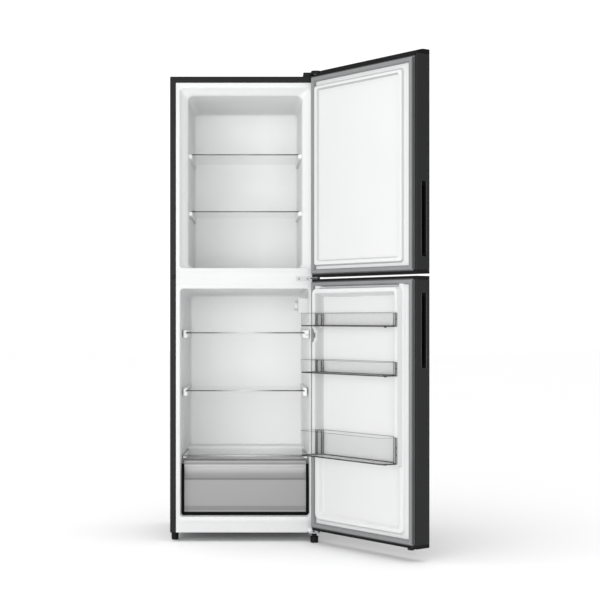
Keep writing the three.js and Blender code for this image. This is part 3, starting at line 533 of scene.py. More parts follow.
def round_corners(points, radii, n=4):
    """A closed outline with each corner replaced by an arc-like curve of its radius."""
    out = []
    count = len(points)
    for i, (p, r) in enumerate(zip(points, radii)):
        here = Vector(p)
        before = (Vector(points[i - 1]) - here).normalized()
        after = (Vector(points[(i + 1) % count]) - here).normalized()
        if not r:
            out.append(tuple(here))
            continue
        half = before.angle(after) / 2
        reach = r / math.tan(half)
        a, b = here + before * reach, here + after * reach
        for k in range(n + 1):
            t = k / n
            out.append(tuple(a * (1 - t) ** 2 + here * 2 * t * (1 - t) + b * t * t))
    return out


def loft(bm, loops, closed=True, wrap=False, caps=(True, True)):
    """Skins a run of point loops of equal length."""
    rows = [[bm.verts.new(p) for p in loop] for loop in loops]
    count = len(rows[0])
    pairs = list(zip(rows, rows[1:])) + ([(rows[-1], rows[0])] if wrap else [])
    for a, b in pairs:
        for i in range(count if closed else count - 1):
            j = (i + 1) % count
            bm.faces.new((a[i], a[j], b[j], b[i]))
    if not wrap and closed:
        if caps[0]:
            bm.faces.new(reversed(rows[0]))
        if caps[1]:
            bm.faces.new(rows[-1])
    return rows


def block(bm, x0, x1, y0, y1, z0, z1, r=0.0, segments=2):
    """A box with its edges rounded by r, added to bm."""
    made = bmesh.ops.create_cube(bm, size=1)["verts"]
    size = Matrix.Diagonal((x1 - x0, y1 - y0, z1 - z0, 1))
    place = Matrix.Translation(((x0 + x1) / 2, (y0 + y1) / 2, (z0 + z1) / 2))
    bmesh.ops.transform(bm, matrix=place @ size, verts=made)
    if r:
        edges = list({e for v in made for e in v.link_edges})
        bmesh.ops.bevel(bm, geom=edges, offset=r, segments=segments, profile=0.5, affect="EDGES")


def extrude(bm, outline, z0, z1):
    """An outline in x and y, raised from z0 to z1."""
    loft(bm, [[(x, y, z) for x, y in outline] for z in (z0, z1)])


def across(bm, outline, x0, x1):
    """An outline in y and z, run from x0 to x1."""
    loft(bm, [[(x, y, z) for y, z in outline] for x in (x0, x1)])


def lathe(bm, profile, x, y, steps=32, wrap=False):
    """A profile of (radius, z) turned about an upright axis."""
    loops = []
    for r, z in profile:
        ring = [math.tau * i / steps for i in range(steps)]
        loops.append([(x + r * math.cos(t), y + r * math.sin(t), z) for t in ring])
    loft(bm, loops, wrap=wrap)


def boolean(obj, tool, kind="DIFFERENCE"):
    """Cuts a tool out of obj, or joins it on, and drops the tool."""
    made = obj.modifiers.new("cut", "BOOLEAN")
    made.operation = kind
    made.solver = "EXACT"
    made.object = tool
    graph = bpy.context.evaluated_depsgraph_get()
    mesh = bpy.data.meshes.new_from_object(obj.evaluated_get(graph))
    obj.modifiers.clear()
    old = obj.data
    obj.data = mesh
    bpy.data.meshes.remove(old)
    bpy.data.objects.remove(tool)
    return obj


def tool(build, space):
    """A throwaway object for boolean(), made by build."""
    bm = bmesh.new()
    build(bm)
    bmesh.ops.remove_doubles(bm, verts=bm.verts, dist=1e-4)
    bmesh.ops.recalc_face_normals(bm, faces=bm.faces)
    return new_object("tool", bm, space)


def cut_piece(name, start, steps, space, body, material, replaces, angle=32):
    """A piece made from a starting solid and a run of (kind, build) booleans."""
    obj = tool(start, space)
    obj.name = obj.data.name = name
    for kind, build in steps:
        boolean(obj, tool(build, space), kind)
    obj.data.name = name
    obj.data.materials.clear()
    obj.data.materials.append(material)
    smooth(obj, angle)
    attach(obj, body)
    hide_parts(*replaces)
    return obj


# ------------------------------------------------------------------ cabinet

HALF = 272.5
DEPTH = (CASE_HIGH.y - CASE_LOW.y) / MM
TOP = CASE_HIGH.z / MM
BOTTOM = CASE_LOW.z / MM
FLANGE = 21.3
TOP_FLANGE = 22.7
LINER_EDGE = 250.9
MOUTH = 236.3
BACK_WALL = 440
WALL = 2


def outer_case():
    """One bent sheet: two sides and the top, turned in at the front."""
    corner = 3.0
    profile = [(0, DEPTH), (0, 2.2)]
    profile += [(2.2 - 2.2 * math.cos(t), 2.2 - 2.2 * math.sin(t)) for t in (0.4, 0.8, 1.2, math.pi / 2)]
    profile += [(FLANGE - 0.5, 0), (FLANGE, 0.5), (FLANGE, 1), (2.4, 1), (1, 2.4), (1, DEPTH)]

    def outline(inset):
        side = HALF - inset
        top = TOP - inset * (TOP_FLANGE / FLANGE)
        r = max(corner - inset, 0.05)
        points = [(-side, BOTTOM)]
        points += arc(-side + r, top - r, r, 180, 90, 5)
        points += arc(side - r, top - r, r, 90, 0, 5)
        points.append((side, BOTTOM))
        return points

    bm = bmesh.new()
    rows = [[(x, y, z) for x, z in outline(inset)] for inset, y in profile]
    loops = list(map(list, zip(*rows)))
    loft(bm, loops)
    piece("case_sheet", bm, CABINET, "cabinet", PAINT, ["outer_case"], angle=28)


def rect_loop(half, z0, z1, r, y, n=6):
    """A rounded rectangle across the cabinet at depth y."""
    return [(x, y, z) for x, z in rounded(-half, half, z0, z1, r, n)]


BACK_EDGE = 10
QUARTER = [math.radians(t) for t in (0, 30, 60, 90)]


def liner_void(bm, grow, floor, top, lip, mouth_r, walls, back_r, at):
    """A liner's space: a rounded lip at its mouth, its walls' sections, then a rounded back."""
    if grow:
        loops = [rect_loop(MOUTH + grow, floor - grow, top + grow, 12 + grow, 1)]
    else:
        loops = [rect_loop(MOUTH + 4, floor - 1.5, top + 4, mouth_r + 3, -1)]
        for t in QUARTER:
            out = lip * (1 - math.sin(t))
            y = lip * (1 - math.cos(t))
            loops.append(rect_loop(MOUTH + out, floor - out / 2, top + out, mouth_r + out, y))
    for y, half, ceiling, r in walls:
        loops.append(rect_loop(half + grow, floor - grow, ceiling + grow, r, y))
    for t in QUARTER:
        pull = BACK_EDGE * (1 - math.cos(t))
        y = BACK_WALL + grow - BACK_EDGE + BACK_EDGE * math.sin(t)
        half, ceiling = at(y)
        loops.append(rect_loop(half + grow - pull, floor - grow + pull, ceiling + grow - pull, back_r, y))
    loft(bm, loops)


FREEZER_FLOOR = 994
FREEZER_TOP = 1647.4
# Sections of the freezer's space: y, half width, top and corner radius.
FREEZER_WALLS = (
    (20, 222.4, 1636.6, 16), (36, 211.3, 1628.2, 19), (39, 209.5, 1626.8, 19.5),
    (41.5, 208.6, 1626, 20), (46, 208.3, 1625.6, 20), (120, 207.5, 1623.8, 20.5),
    (240, 206.2, 1620.9, 21), (360, 204.9, 1618, 21.5),
)


def freezer_void(bm, grow=0.0):
    """The freezer's space: a wide curved collar on three sides, then nearly straight walls."""

    def at(y):
        return 204, 1616

    liner_void(bm, grow, FREEZER_FLOOR, FREEZER_TOP, 3, 13, FREEZER_WALLS, 21, at)


def flange_plate(z0, z1):
    """A liner's flat front, with a slightly eased edge."""

    def build(bm):
        loops = [rect_loop(LINER_EDGE - 0.5, z0 + 0.5, z1 - 0.5, 1.5, 0)]
        loops.append(rect_loop(LINER_EDGE, z0, z1, 2, 0.5))
        loops.append(rect_loop(LINER_EDGE, z0, z1, 2, WALL))
        loft(bm, loops)

    return build


def side_blocks(half, y0, y1, z0, z1, r):
    """The same rounded block on both side walls, from the wall in to half."""

    def build(bm):
        for side in (-1, 1):
            a, b = sorted((side * half, side * (MOUTH - 8)))
            block(bm, a, b, y0, y1, z0, z1, r)

    return build


def shade_flange_faces(shell):
    """The liner's flat front flange takes painted shade, a darker copy of the walls' white."""
    shell.data.materials.append(FLANGE_SHADE_WHITE)
    to_mm = CABINET.inverted()
    for face in shell.data.polygons:
        if (to_mm @ face.center).y < 1 and abs(face.normal.y) > 0.9:
            face.material_index = 1


def freezer_liner():
    """The liner with a pair of ledges under each shelf."""
    steps = [("UNION", flange_plate(983.2, 1666.9)), ("DIFFERENCE", freezer_void)]
    for node in ("freezer_shelf_lower", "freezer_shelf_upper"):
        z = heights(node)[0]
        steps.append(("UNION", side_blocks(195, 66, 426, z - 16, z - 0.3, 3.5)))
    shell = cut_piece(
        "freezer_liner_formed",
        lambda bm: freezer_void(bm, WALL),
        steps,
        CABINET,
        "cabinet",
        FREEZER_WHITE,
        ["freezer_liner"],
    )
    shade_flange_faces(shell)


FRIDGE_FLOOR = 89.4
FRIDGE_TOP = 919.6


def fridge_void(bm, grow=0.0):
    """The fridge's space, whose walls and top draw in evenly towards the back."""

    def at(y):
        return MOUTH - 15.8 * y / BACK_WALL, FRIDGE_TOP - 16.3 * y / BACK_WALL

    walls = [(y, *at(y), 12 + y / 40) for y in (40, 120, 240, 360)]
    liner_void(bm, grow, FRIDGE_FLOOR, FRIDGE_TOP, 2.5, 12, walls, 22, at)


STEP_FOOT = 296
STEP_EDGE = 348
STEP_HEIGHT = 316


def compressor_step(inset):
    """The step that the fridge's back wall makes over the compressor."""

    def build(bm):
        top = STEP_HEIGHT - inset
        corner = [(STEP_FOOT + inset, 60), (STEP_EDGE + inset, top), (480, top), (480, 60)]
        across(bm, round_corners(corner, [0, 7, 0, 0]), -260, 260)

    return build


def shelf_slots(z):
    """The room that a shelf at height z takes in its ledges."""

    def build(bm):
        block(bm, -219.6, 219.6, 60, 438, z - 0.3, z + 4.8)

    return build


def fridge_liner():
    """The liner with its step, shelf ledges, cover ledges and light switch boss."""

    def solid(bm):
        fridge_void(bm, WALL)

    steps = [("DIFFERENCE", compressor_step(WALL)), ("UNION", flange_plate(71.4, 932.1))]
    hollow = tool(fridge_void, CABINET)
    boolean(hollow, tool(compressor_step(0), CABINET))
    shell = tool(solid, CABINET)
    for kind, build in steps:
        boolean(shell, tool(build, CABINET), kind)
    boolean(shell, hollow)
    for node in ("fridge_shelf_lower", "fridge_shelf_upper"):
        z = heights(node)[0]
        boolean(shell, tool(side_blocks(213.5, 74, 432, z - 17, z + 12.5, 3), CABINET), "UNION")
        boolean(shell, tool(shelf_slots(z), CABINET))
    cover = heights("crisper_cover")[0]
    boolean(shell, tool(side_blocks(217, 60, 344, cover - 7, cover - 0.3, 1.5), CABINET), "UNION")
    z = sum(heights("light_switch")) / 2

    def switch_boss(bm):
        block(bm, 219.9, 234, 12, 80, z - 13, z + 17, 2)

    def switch_hole(bm):
        cylinder_y(bm, 227, z, 4.4, -8, 44)

    boolean(shell, tool(switch_boss, CABINET), "UNION")
    boolean(shell, tool(switch_hole, CABINET))
    shell.name = shell.data.name = "fridge_liner_formed"
    shell.data.materials.clear()
    shell.data.materials.append(WHITE)
    shade_flange_faces(shell)
    smooth(shell)
    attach(shell, "cabinet")
    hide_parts("fridge_liner")


def cylinder_y(bm, x, z, r, y0, y1, steps=24):
    """A round bar along y."""
    ring = [math.tau * i / steps for i in range(steps)]
    loft(bm, [[(x + r * math.cos(t), y, z + r * math.sin(t)) for t in ring] for y in (y0, y1)])


# ------------------------------------------------------------------ doors

# The doors' edges in plan, the step in the freezer door's top corner, and the grip's front and back.
HINGE_EDGE = 11
HANDLE_EDGE = -531
DOOR_FRONT = -51
DOOR_BACK = 12
STEP_X = -42
STEP_Z = 1683.6
CROWN_END = -35
GRIP_FRONT = -34
GRIP_BACK = -10


def door_plan(inset=0.0):
    """The door in plan, with rounded front corners."""
    x0, x1 = HANDLE_EDGE + inset, HINGE_EDGE - inset
    y0, y1 = DOOR_FRONT + inset, DOOR_BACK - inset
    corners = [(x0, y1), (x0, y0), (x1, y0), (x1, y1)]
    r = 7 - inset * 0.8
    return round_corners(corners, [1.2, r, r, 1.2], 6)


def grip_window(z0, z1, grow, depth):
    """An opening with rounded ends in the door's handle edge."""

    def build(bm):
        a, b = GRIP_FRONT - grow, GRIP_BACK + grow
        ends = round_corners(
            [(a, z0 - grow), (b, z0 - grow), (b, z1 + grow), (a, z1 + grow)], [7, 7, 7, 7], 5
        )
        across(bm, ends, HANDLE_EDGE - 5, HANDLE_EDGE + depth)

    return build


def door_skin(door, node):
    """The bent sheet round a door, open at the back, with the grip's opening."""
    z0, z1 = heights(node)
    g0, g1 = heights(door + "_grip")

    def solid(bm):
        extrude(bm, door_plan(), z0, z1)

    def hollow(bm):
        extrude(bm, door_plan(1), z0 - 5, z1 + 5)

    def opening(bm):
        block(bm, HANDLE_EDGE + 7.2, HINGE_EDGE - 7.2, DOOR_BACK - 3, DOOR_BACK + 3, z0 - 5, z1 + 5)

    steps = [("DIFFERENCE", hollow), ("DIFFERENCE", opening), ("DIFFERENCE", grip_window(g0, g1, 0.3, 5))]
    if door == "freezer_door":

        def step(bm):
            block(bm, STEP_X - 2.8, HINGE_EDGE + 5, DOOR_FRONT - 5, DOOR_BACK + 5, STEP_Z, TOP + 40)

        steps.append(("DIFFERENCE", step))
    cut_piece(node + "_bent", solid, steps, DOOR, door, DOOR_PAINT, [node])


def grip_cup(door):
    """A black cup behind a raised rounded rim, its ends sloping in."""
    z0, z1 = heights(door + "_grip")
    depth = 27

    def solid(bm):
        grip_window(z0, z1, 0, depth)(bm)

    def trim(bm):
        block(bm, HANDLE_EDGE - 9, HANDLE_EDGE + 0.2, -70, 40, z0 - 20, z1 + 20)

    def hollow(bm):
        x_out, x_in = HANDLE_EDGE - 4, HANDLE_EDGE + depth - 2
        loops = []
        for x, end, side, r in (
            (x_out, 2, 2, 5.5),
            (HANDLE_EDGE + 1.5, 2.4, 2.4, 5.2),
            (HANDLE_EDGE + 3, 4, 3.6, 5),
            (HANDLE_EDGE + 12, 15, 4.2, 5),
            (x_in, 24, 5, 5),
        ):
            shape = rounded(GRIP_FRONT + side, GRIP_BACK - side, z0 + end, z1 - end, r)
            loops.append([(x, y, z) for y, z in shape])
        loft(bm, loops)

    steps = [("DIFFERENCE", trim), ("DIFFERENCE", hollow)]
    cut_piece(door + "_grip_cup", solid, steps, DOOR, door, PITCH_BLACK, [door + "_grip"], 40)
    bm = bmesh.new()
    loops = []
    for grow, x in ((-1.8, 2), (-1.8, -0.3), (-1.3, -0.8), (0.4, -0.8), (1, -0.3), (1, 0.4)):
        rim = rounded(GRIP_FRONT - grow, GRIP_BACK + grow, z0 - grow, z1 + grow, 6.5 + grow, 8)
        loops.append([(HANDLE_EDGE + x, y, z) for y, z in rim])
    loft(bm, loops, wrap=True)
    piece(door + "_grip_rim", bm, DOOR, door, GLOSS_BLACK, (), angle=60)


def plain_cap(door, node, hole):
    """A moulded cap over a door's end, with a hole of radius hole on the hinge axis."""
    z0, z1 = heights(node)

    def solid(bm):
        extrude(bm, door_plan(), z0, z1)

    def bore(bm):
        lathe(bm, [(hole, z0 - 3), (hole, z1 + 3)], 0, 0, 28)

    obj = cut_piece(node + "_moulded", solid, [("DIFFERENCE", bore)], DOOR, door, BLACK, [node])
    bevel(obj, 0.8, 2)


def crown_cap():
    """The freezer door's top cap, which rises to a flat crown and has a low corner at the hinge."""
    z0, z1 = heights("freezer_door_top_cap")
    seam = 1691.6
    profile = [(DOOR_BACK, seam), (DOOR_BACK, 1698.4)]
    for i in range(9):
        t = i / 8
        profile.append((DOOR_BACK - 0.6 - 36 * t, 1699.3 + (z1 - 1699.3) * math.sin(t * math.pi / 2)))
    profile += [(DOOR_FRONT + 5, z1), (DOOR_FRONT + 1.5, z1 - 1.2)]
    profile += [(DOOR_FRONT, z1 - 4), (DOOR_FRONT, seam)]

    def crown(bm):
        across(bm, profile, HANDLE_EDGE - 1, CROWN_END)

    def mask(bm):
        extrude(bm, door_plan(), z0 - 15, z1 + 5)

    def shelf(bm):
        block(bm, STEP_X - 2.5, HINGE_EDGE + 1, DOOR_FRONT - 1, DOOR_BACK + 1, z0, z0 + 4.4)

    def riser(bm):
        block(bm, STEP_X - 2.5, CROWN_END, DOOR_FRONT - 1, DOOR_BACK + 1, z0 + 1, seam + 3)

    def lip(bm):
        block(bm, HANDLE_EDGE + 1.2, STEP_X - 2.8, DOOR_BACK - 3, DOOR_BACK, STEP_Z - 0.5, seam + 1)

    def bore(bm):
        lathe(bm, [(4.4, z0 - 3), (4.4, z0 + 12)], 0, 0, 28)

    steps = [("UNION", riser), ("UNION", shelf), ("UNION", lip), ("INTERSECT", mask), ("DIFFERENCE", bore)]
    obj = cut_piece(
        "freezer_door_crown", crown, steps, DOOR, "freezer_door", BLACK, ["freezer_door_top_cap"]
    )
    bevel(obj, 0.8, 2)


SEAL_HANDLE = -522.4
SEAL_HINGE = 5.4
SEAL_SHADE_BAND = 3.2


def gasket(door):
    """A seal swept round the door: its foot, its pleats and its magnet tube."""
    z0, z1 = heights(door + "_gasket")
    y = DOOR_BACK + 0.3
    outline = [
        (3, y), (17.5, y), (19.3, y + 0.8), (19.2, y + 2.4), (18, y + 3.6), (18, y + 4.6), (17.6, y + 8),
        (16, y + 12), (14.2, y + 13.2), (6.5, y + 13.2),
        (4.6, y + 12.2), (3.8, y + 9.8), (2.4, y + 8.2), (0.6, y + 7.6), (0, y + 6.4), (0.2, y + 4.2),
        (1.8, y + 3.1), (2.6, y + 1.8),
    ]
    soft = round_corners(outline, [0.3] * len(outline), 2)
    bm = bmesh.new()
    loops = []
    for inset, depth in soft:
        r = 3.5 if inset < 10 else 1.5
        shape = rounded(SEAL_HANDLE + inset, SEAL_HINGE - inset, z0 + inset, z1 - inset, r, 4)
        loops.append([(x, depth, z) for x, z in shape])
    loft(bm, loops, wrap=True)
    obj = piece(door + "_seal", bm, DOOR, door, SEAL, [door + "_gasket"], angle=50)
    obj.data.materials.append(SEAL_SHADE)
    # The seal's outer pleats take its darker copy: painted shade.
    to_door = DOOR.inverted()
    for face in obj.data.polygons:
        p = to_door @ face.center
        if min(p.x - SEAL_HANDLE, SEAL_HINGE - p.x, p.z - z0, z1 - p.z) < SEAL_SHADE_BAND:
            face.material_index = 1


def inside_rect(x, z, x0, x1, z0, z1, r):
    """Distance inside a rounded rectangle, negative outside."""
    cx, cz = (x0 + x1) / 2, (z0 + z1) / 2
    dx = abs(x - cx) - (x1 - x0) / 2 + r
    dz = abs(z - cz) - (z1 - z0) / 2 + r
    outside = math.hypot(max(dx, 0), max(dz, 0))
    return r - outside - min(max(dx, dz), 0)


def ease(t):
    t = min(1, max(0, t))
    return t * t * (3 - 2 * t)


def ring(distance, start, full, end, out):
    """A ridge between two distances, rising from start to full and falling from end to out."""
    return ease((distance - start) / (full - start)) * (1 - ease((distance - end) / (out - end)))


def lines(stops, fine, coarse):
    """Grid lines with fine steps near each stop and coarse steps between."""
    low, high = stops[0], stops[-1]
    out = [low]
    while out[-1] < high - 1e-6:
        near = min(abs(out[-1] - s) for s in stops)
        step = fine if near < 9 else min(coarse, fine + (near - 9) * 0.35)
        out.append(min(high, out[-1] + step))
    return out


SHEET_BACK = DOOR_BACK - 2
SHEET_HANDLE = HANDLE_EDGE + 8
SHEET_HINGE = HINGE_EDGE - 8
SHEET_RIM = 3.6
SHADED_FROM = -200


def formed_sheet(door, height, xs, zs, sides_only):
    """A vacuum-formed sheet from a height over a grid, closed at the back by a flat face.

    Its rim takes the seal's painted shade and its slopes take painted shade. With sides_only, only the
    slopes that face the handle get painted shade, and only in the part by the hinge.
    """
    bm = bmesh.new()
    front = [[bm.verts.new((x, height(x, z), z)) for x in xs] for z in zs]
    back = [[bm.verts.new((x, SHEET_BACK, z)) for x in xs] for z in zs]
    for j in range(len(zs) - 1):
        for i in range(len(xs) - 1):
            bm.faces.new((front[j][i], front[j][i + 1], front[j + 1][i + 1], front[j + 1][i]))
    rim = [(0, i) for i in range(len(xs))] + [(j, len(xs) - 1) for j in range(1, len(zs))]
    rim += [(len(zs) - 1, i) for i in range(len(xs) - 2, -1, -1)]
    rim += [(j, 0) for j in range(len(zs) - 2, 0, -1)]
    for (ja, ia), (jb, ib) in zip(rim, rim[1:] + rim[:1]):
        bm.faces.new((front[ja][ia], front[jb][ib], back[jb][ib], back[ja][ia]))
    for j in range(1, len(zs) - 1):
        for i in range(1, len(xs) - 1):
            bm.verts.remove(back[j][i])
    bm.faces.new([back[j][i] for j, i in rim])
    obj = piece(door + "_panel", bm, DOOR, door, DOOR_WHITE, [door + "_liner"], angle=40)
    for material in (SEAL_SHADE, FLANK_SHADE_WHITE, STEEP_SHADE_WHITE):
        obj.data.materials.append(material)
    to_door = DOOR.inverted()
    out = (DOOR.to_3x3() @ Vector((0, 1, 0))).normalized()
    handle = (DOOR.to_3x3() @ Vector((-1, 0, 0))).normalized()
    for face in obj.data.polygons:
        p = to_door @ face.center
        # Painted shade: the rim takes the seal's dark copy, the slopes take the sheet's darker copies.
        if min(p.x - xs[0], xs[-1] - p.x) < SHEET_RIM or min(p.z - zs[0], zs[-1] - p.z) < 1:
            face.material_index = 1
        elif sides_only and (p.x < SHADED_FROM or face.normal.dot(handle) < 0.4):
            continue
        elif face.normal.dot(out) < 0.72:
            face.material_index = 2 if face.normal.z > 0.3 else 3
        elif face.normal.dot(out) < 0.92 and face.normal.z < 0.3:
            face.material_index = 2
    return obj


RING = 8.5


def freezer_door_liner():
    """A flat panel with one soft ring pressed round it."""
    z0 = heights("freezer_door_liner")[0]
    x0, x1 = SHEET_HANDLE, SHEET_HINGE

    def height(x, z):
        outside = inside_rect(x, z, -473.5, -4, 997.5, 1650.5, 16)
        inside = inside_rect(x, z, -452, -24, 1014.5, 1636.5, 9)
        ridge = ease(outside / 7) * (1 - ease(inside / 6.5))
        return DOOR_BACK + RING * ridge

    xs = lines([x0, x0 + SHEET_RIM, -470, -449, -27, -14, x1 - SHEET_RIM, x1], 1.1, 16)
    zs = lines([z0, 1001, 1018, 1633, 1647, STEP_Z - 0.6], 1.1, 16)
    formed_sheet("freezer_door", height, xs, zs, False)


RIB = 45


LOW_RIDGE = 11


def fridge_door_liner():
    """A tall rib up both sides and over the top, a low ridge further down, and a notch by the switch."""
    z0, z1 = heights("fridge_door_liner")
    x0, x1 = SHEET_HANDLE, SHEET_HINGE
    notch = sum(heights("light_switch")) / 2

    def height(x, z):
        outer = inside_rect(x, z, -471, -29, 100, 915.5, 18)
        inner = -inside_rect(x, z, -460, -40, -200, 903.5, 10)
        left = x > -250
        outer_slope = 5
        inner_slope, end = (19, 318) if left else (17, 313)
        full = RIB - DOOR_BACK
        rise = min(ease((outer + outer_slope) / outer_slope), ease((inner + inner_slope) / inner_slope))
        rise *= ease((z - end) / 5)
        h = full * rise
        if left:
            pad, reach, slope = 24.5, 29, 11
            into = min(1, max(0, (reach - abs(z - notch)) / slope))
            h = min(h, full - (full - pad) * into)
        low_out = inside_rect(x, z, -475, -20, 93, 1200, 18)
        low_in = inside_rect(x, z, -461, -34, 102, 1200, 14)
        low_slope = 14 + 7 * ease((x + 330) / 160)
        low = LOW_RIDGE * min(ease((low_out + 7) / 7), 1 - ease(low_in / low_slope))
        bead = 1.0 * ring(inside_rect(x, z, -484, -12, 84, 1200, 20), 0, 2, 3, 5)
        pocket = 8.2 + 4 * max(0, math.hypot(x + 31.5, z - notch) - 6.5)
        return DOOR_BACK + min(max(h, low, bead), pocket)

    stops = [x0, x0 + SHEET_RIM, -478, -462, -445, -60, -44, -30, -18, x1 - SHEET_RIM, x1]
    xs = lines(stops, 1.6, 16)
    stops = [z0, 86, 100, 112, 300, 316, notch - 22, notch, notch + 22, 890, 912, z1]
    zs = lines(stops, 1.8, 18)
    obj = formed_sheet("fridge_door", height, xs, zs, True)
    for node in ("door_bin_lower", "door_bin_middle", "door_bin_upper"):
        z = heights(node)[0]

        def lugs(bm, z=z):
            block(bm, -57, -48, DOOR_BACK - 1, 28, z - 6, z - 0.3, 1)
            block(bm, -453, -444, DOOR_BACK - 1, 28, z - 6, z - 0.3, 1)

        body = obj.parent
        boolean(obj, tool(lugs, DOOR), "UNION")
        obj.parent = body
    smooth(obj, 40)


# ------------------------------------------------------------------ bins, shelves and drawer

OVER_RIB = RIB + 0.6
BIN_BACK = 15
BIN_FRONT = 104
END_BACK = -60.5
END_OVER = -42.3


def bin_outline(t, lean):
    """A bin in plan, drawn in by t all round, with its front leaning in."""
    back, over, front = BIN_BACK + t, OVER_RIB + t, BIN_FRONT - t - lean
    points = [
        (END_BACK - t, back), (END_OVER - t, over), (-37.5 - t, over), (-31.5 - t, front),
        (-459 + t, front), (-467.5 + t, over), (-458.6 + t, over), (-441.2 + t, back),
    ]
    radii = [2.5, 2, 2, 9, 9, 2, 2, 2.5]
    return round_corners(points, [max(0.6, r - t) for r in radii], 4)


CATCH_OUT = -474
CATCH_IN = -466.2


def door_bin(node):
    """A clear tub with edges painted dark as shade, a hook at the hinge end and a catch at the handle end.
    """
    z0, z1 = heights(node)
    over = OVER_RIB
    lean = (z1 - z0) / 16
    wall = 2.2

    def level(t, z):
        share = (z1 - z) / (z1 - z0)
        return [(x, y, z) for x, y in bin_outline(t, lean * share)]

    outside = [level(3.2, z0), level(1, z0 + 0.5), level(0.2, z0 + 1.6), level(0, z0 + 3)]
    outside += [level(0, z1 - 4.2), level(0, z1 - 0.6), level(0.6, z1)]
    inside = [level(wall - 0.5, z1), level(wall, z1 - 0.6), level(wall, z0 + wall + 3)]
    inside += [level(wall + 0.6, z0 + wall + 1), level(wall + 3, z0 + wall)]
    bm = bmesh.new()
    loft(bm, outside + inside)
    piece(node + "_tub", bm, DOOR, node, CLEAR, [node], angle=40)

    def band(name, low, high, thick, material):
        """A strip of painted shade that runs round the bin's wall."""
        bm = bmesh.new()
        loops = []
        for t, z in ((-0.2, low), (-0.2, high), (thick, high), (thick, low)):
            loops.append(level(t, z))
        loft(bm, loops, wrap=True)
        piece(node + name, bm, DOOR, node, material)

    band("_foot", z0 + 0.4, z0 + 4.2, 2.6, SHADED_CLEAR)
    band("_rim", z1 - 1.1, z1 - 0.1, 2.0, SHADED_CLEAR_RIB)

    bm = bmesh.new()
    top = z1 - 5
    across_hook(bm, -57.5, -55.8, z0 + 2, top)
    across_hook(bm, -49.4, -47.8, z0 + 2, top)
    across_hook(bm, -57.5, -47.8, top, top + 1.6)
    for x0, x1 in ((-60.4, -59.2), (-46.8, -45.6)):
        across_hook(bm, x0, x1, z0 + 2, z1 - 1)
    piece(node + "_hook", bm, DOOR, node, SHADED_CLEAR_RIB)

    bm = bmesh.new()
    for x0, x1 in ((CATCH_OUT, CATCH_OUT + 1.2), (CATCH_IN - 1.2, CATCH_IN)):
        block(bm, x0, x1, over + 0.1, over + 2.6, z0 + 1, z1 - 0.4, 0.25)
    for z in (z0 + 1, z1 - 1.6):
        block(bm, CATCH_OUT, CATCH_IN, over + 0.1, over + 2.6, z, z + 1.2, 0.25)
    for share in (0.36, 0.62) if z1 - z0 > 60 else (0.55,):
        z = z0 + (z1 - z0) * share
        block(bm, -471.6, -468.6, over + 0.1, over + 2.4, z - 1.5, z + 1.5, 0.5)
    piece(node + "_catch", bm, DOOR, node, SHADED_CLEAR)
    bm = bmesh.new()
    block(bm, -473.2, -467, over + 0.3, over + 1.6, z0 + 1.4, z1 - 0.8, 0.25)
    piece(node + "_catch_plate", bm, DOOR, node, CLEAR)
    bm = bmesh.new()
    block(bm, -448, -440, 70, 74, z0 - 3.4, z0 + 0.2, 0.8)
    piece(node + "_peg", bm, DOOR, node, SHADED_CLEAR)


def across_hook(bm, x0, x1, z0, z1):
    """A bar of the hook that stands on the bin's slanted end, which runs beside the door's rib."""
    slope = (BIN_BACK - OVER_RIB) / (END_OVER - END_BACK)

    def wall(x):
        return BIN_BACK + slope * (END_BACK - x) + 2.4

    plan = [(x0, wall(x0)), (x1, wall(x1)), (x1 - 1.4, wall(x1) + 1.6), (x0 - 1.4, wall(x0) + 1.6)]
    extrude(bm, plan, z0, z1)


def shelf(node):
    """A glass plate with ground, rounded edges."""
    low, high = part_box(node)
    bm = bmesh.new()
    to_mm = CABINET.inverted()
    a, b = to_mm @ low, to_mm @ high
    block(bm, a.x, b.x, a.y, b.y, a.z, b.z, 1.1, 3)
    material = FREEZER_GLASS if node.startswith("freezer") else FRIDGE_GLASS
    piece(node + "_glass", bm, CABINET, node, material, [node], angle=30)


def crisper_cover():
    """A glass plate, narrower at the back, with eased edges."""
    z0, z1 = heights("crisper_cover")
    front, back = 56, 342
    half, half_back = 231, 222.5
    middle, reach = (front + back) / 2, (back - front) / 2
    corners = [(-half, front), (half, front), (half_back, back), (-half_back, back)]
    plan = round_corners(corners, [8, 8, 4, 4], 5)

    def inset(t):
        return [(x * (1 - t / half), middle + (y - middle) * (1 - t / reach)) for x, y in plan]

    bm = bmesh.new()
    loops = []
    for t, z in ((1.2, z0), (0.35, z0 + 0.35), (0, z0 + 1.2), (0, z1 - 1.2), (0.35, z1 - 0.35), (1.2, z1)):
        loops.append([(x, y, z) for x, y in inset(t)])
    loft(bm, loops)
    piece("crisper_cover_glass", bm, CABINET, "crisper_cover", COVER_GLASS, ["crisper_cover"])


# The drawer's front wall in section, y and z: a shallow finger recess under a straight lip.
DRAWER_FRONT = [
    (45, 94), (45, 220), (51, 231), (54.6, 243), (54.2, 256), (50, 266.5), (45.6, 271), (45, 275),
    (45, 290), (45, 294), (48, 294), (48, 290), (48, 275.5), (53, 268), (57.4, 256.6), (57.8, 242.4),
    (54, 229.4), (48.2, 219.4), (48.2, 94),
]


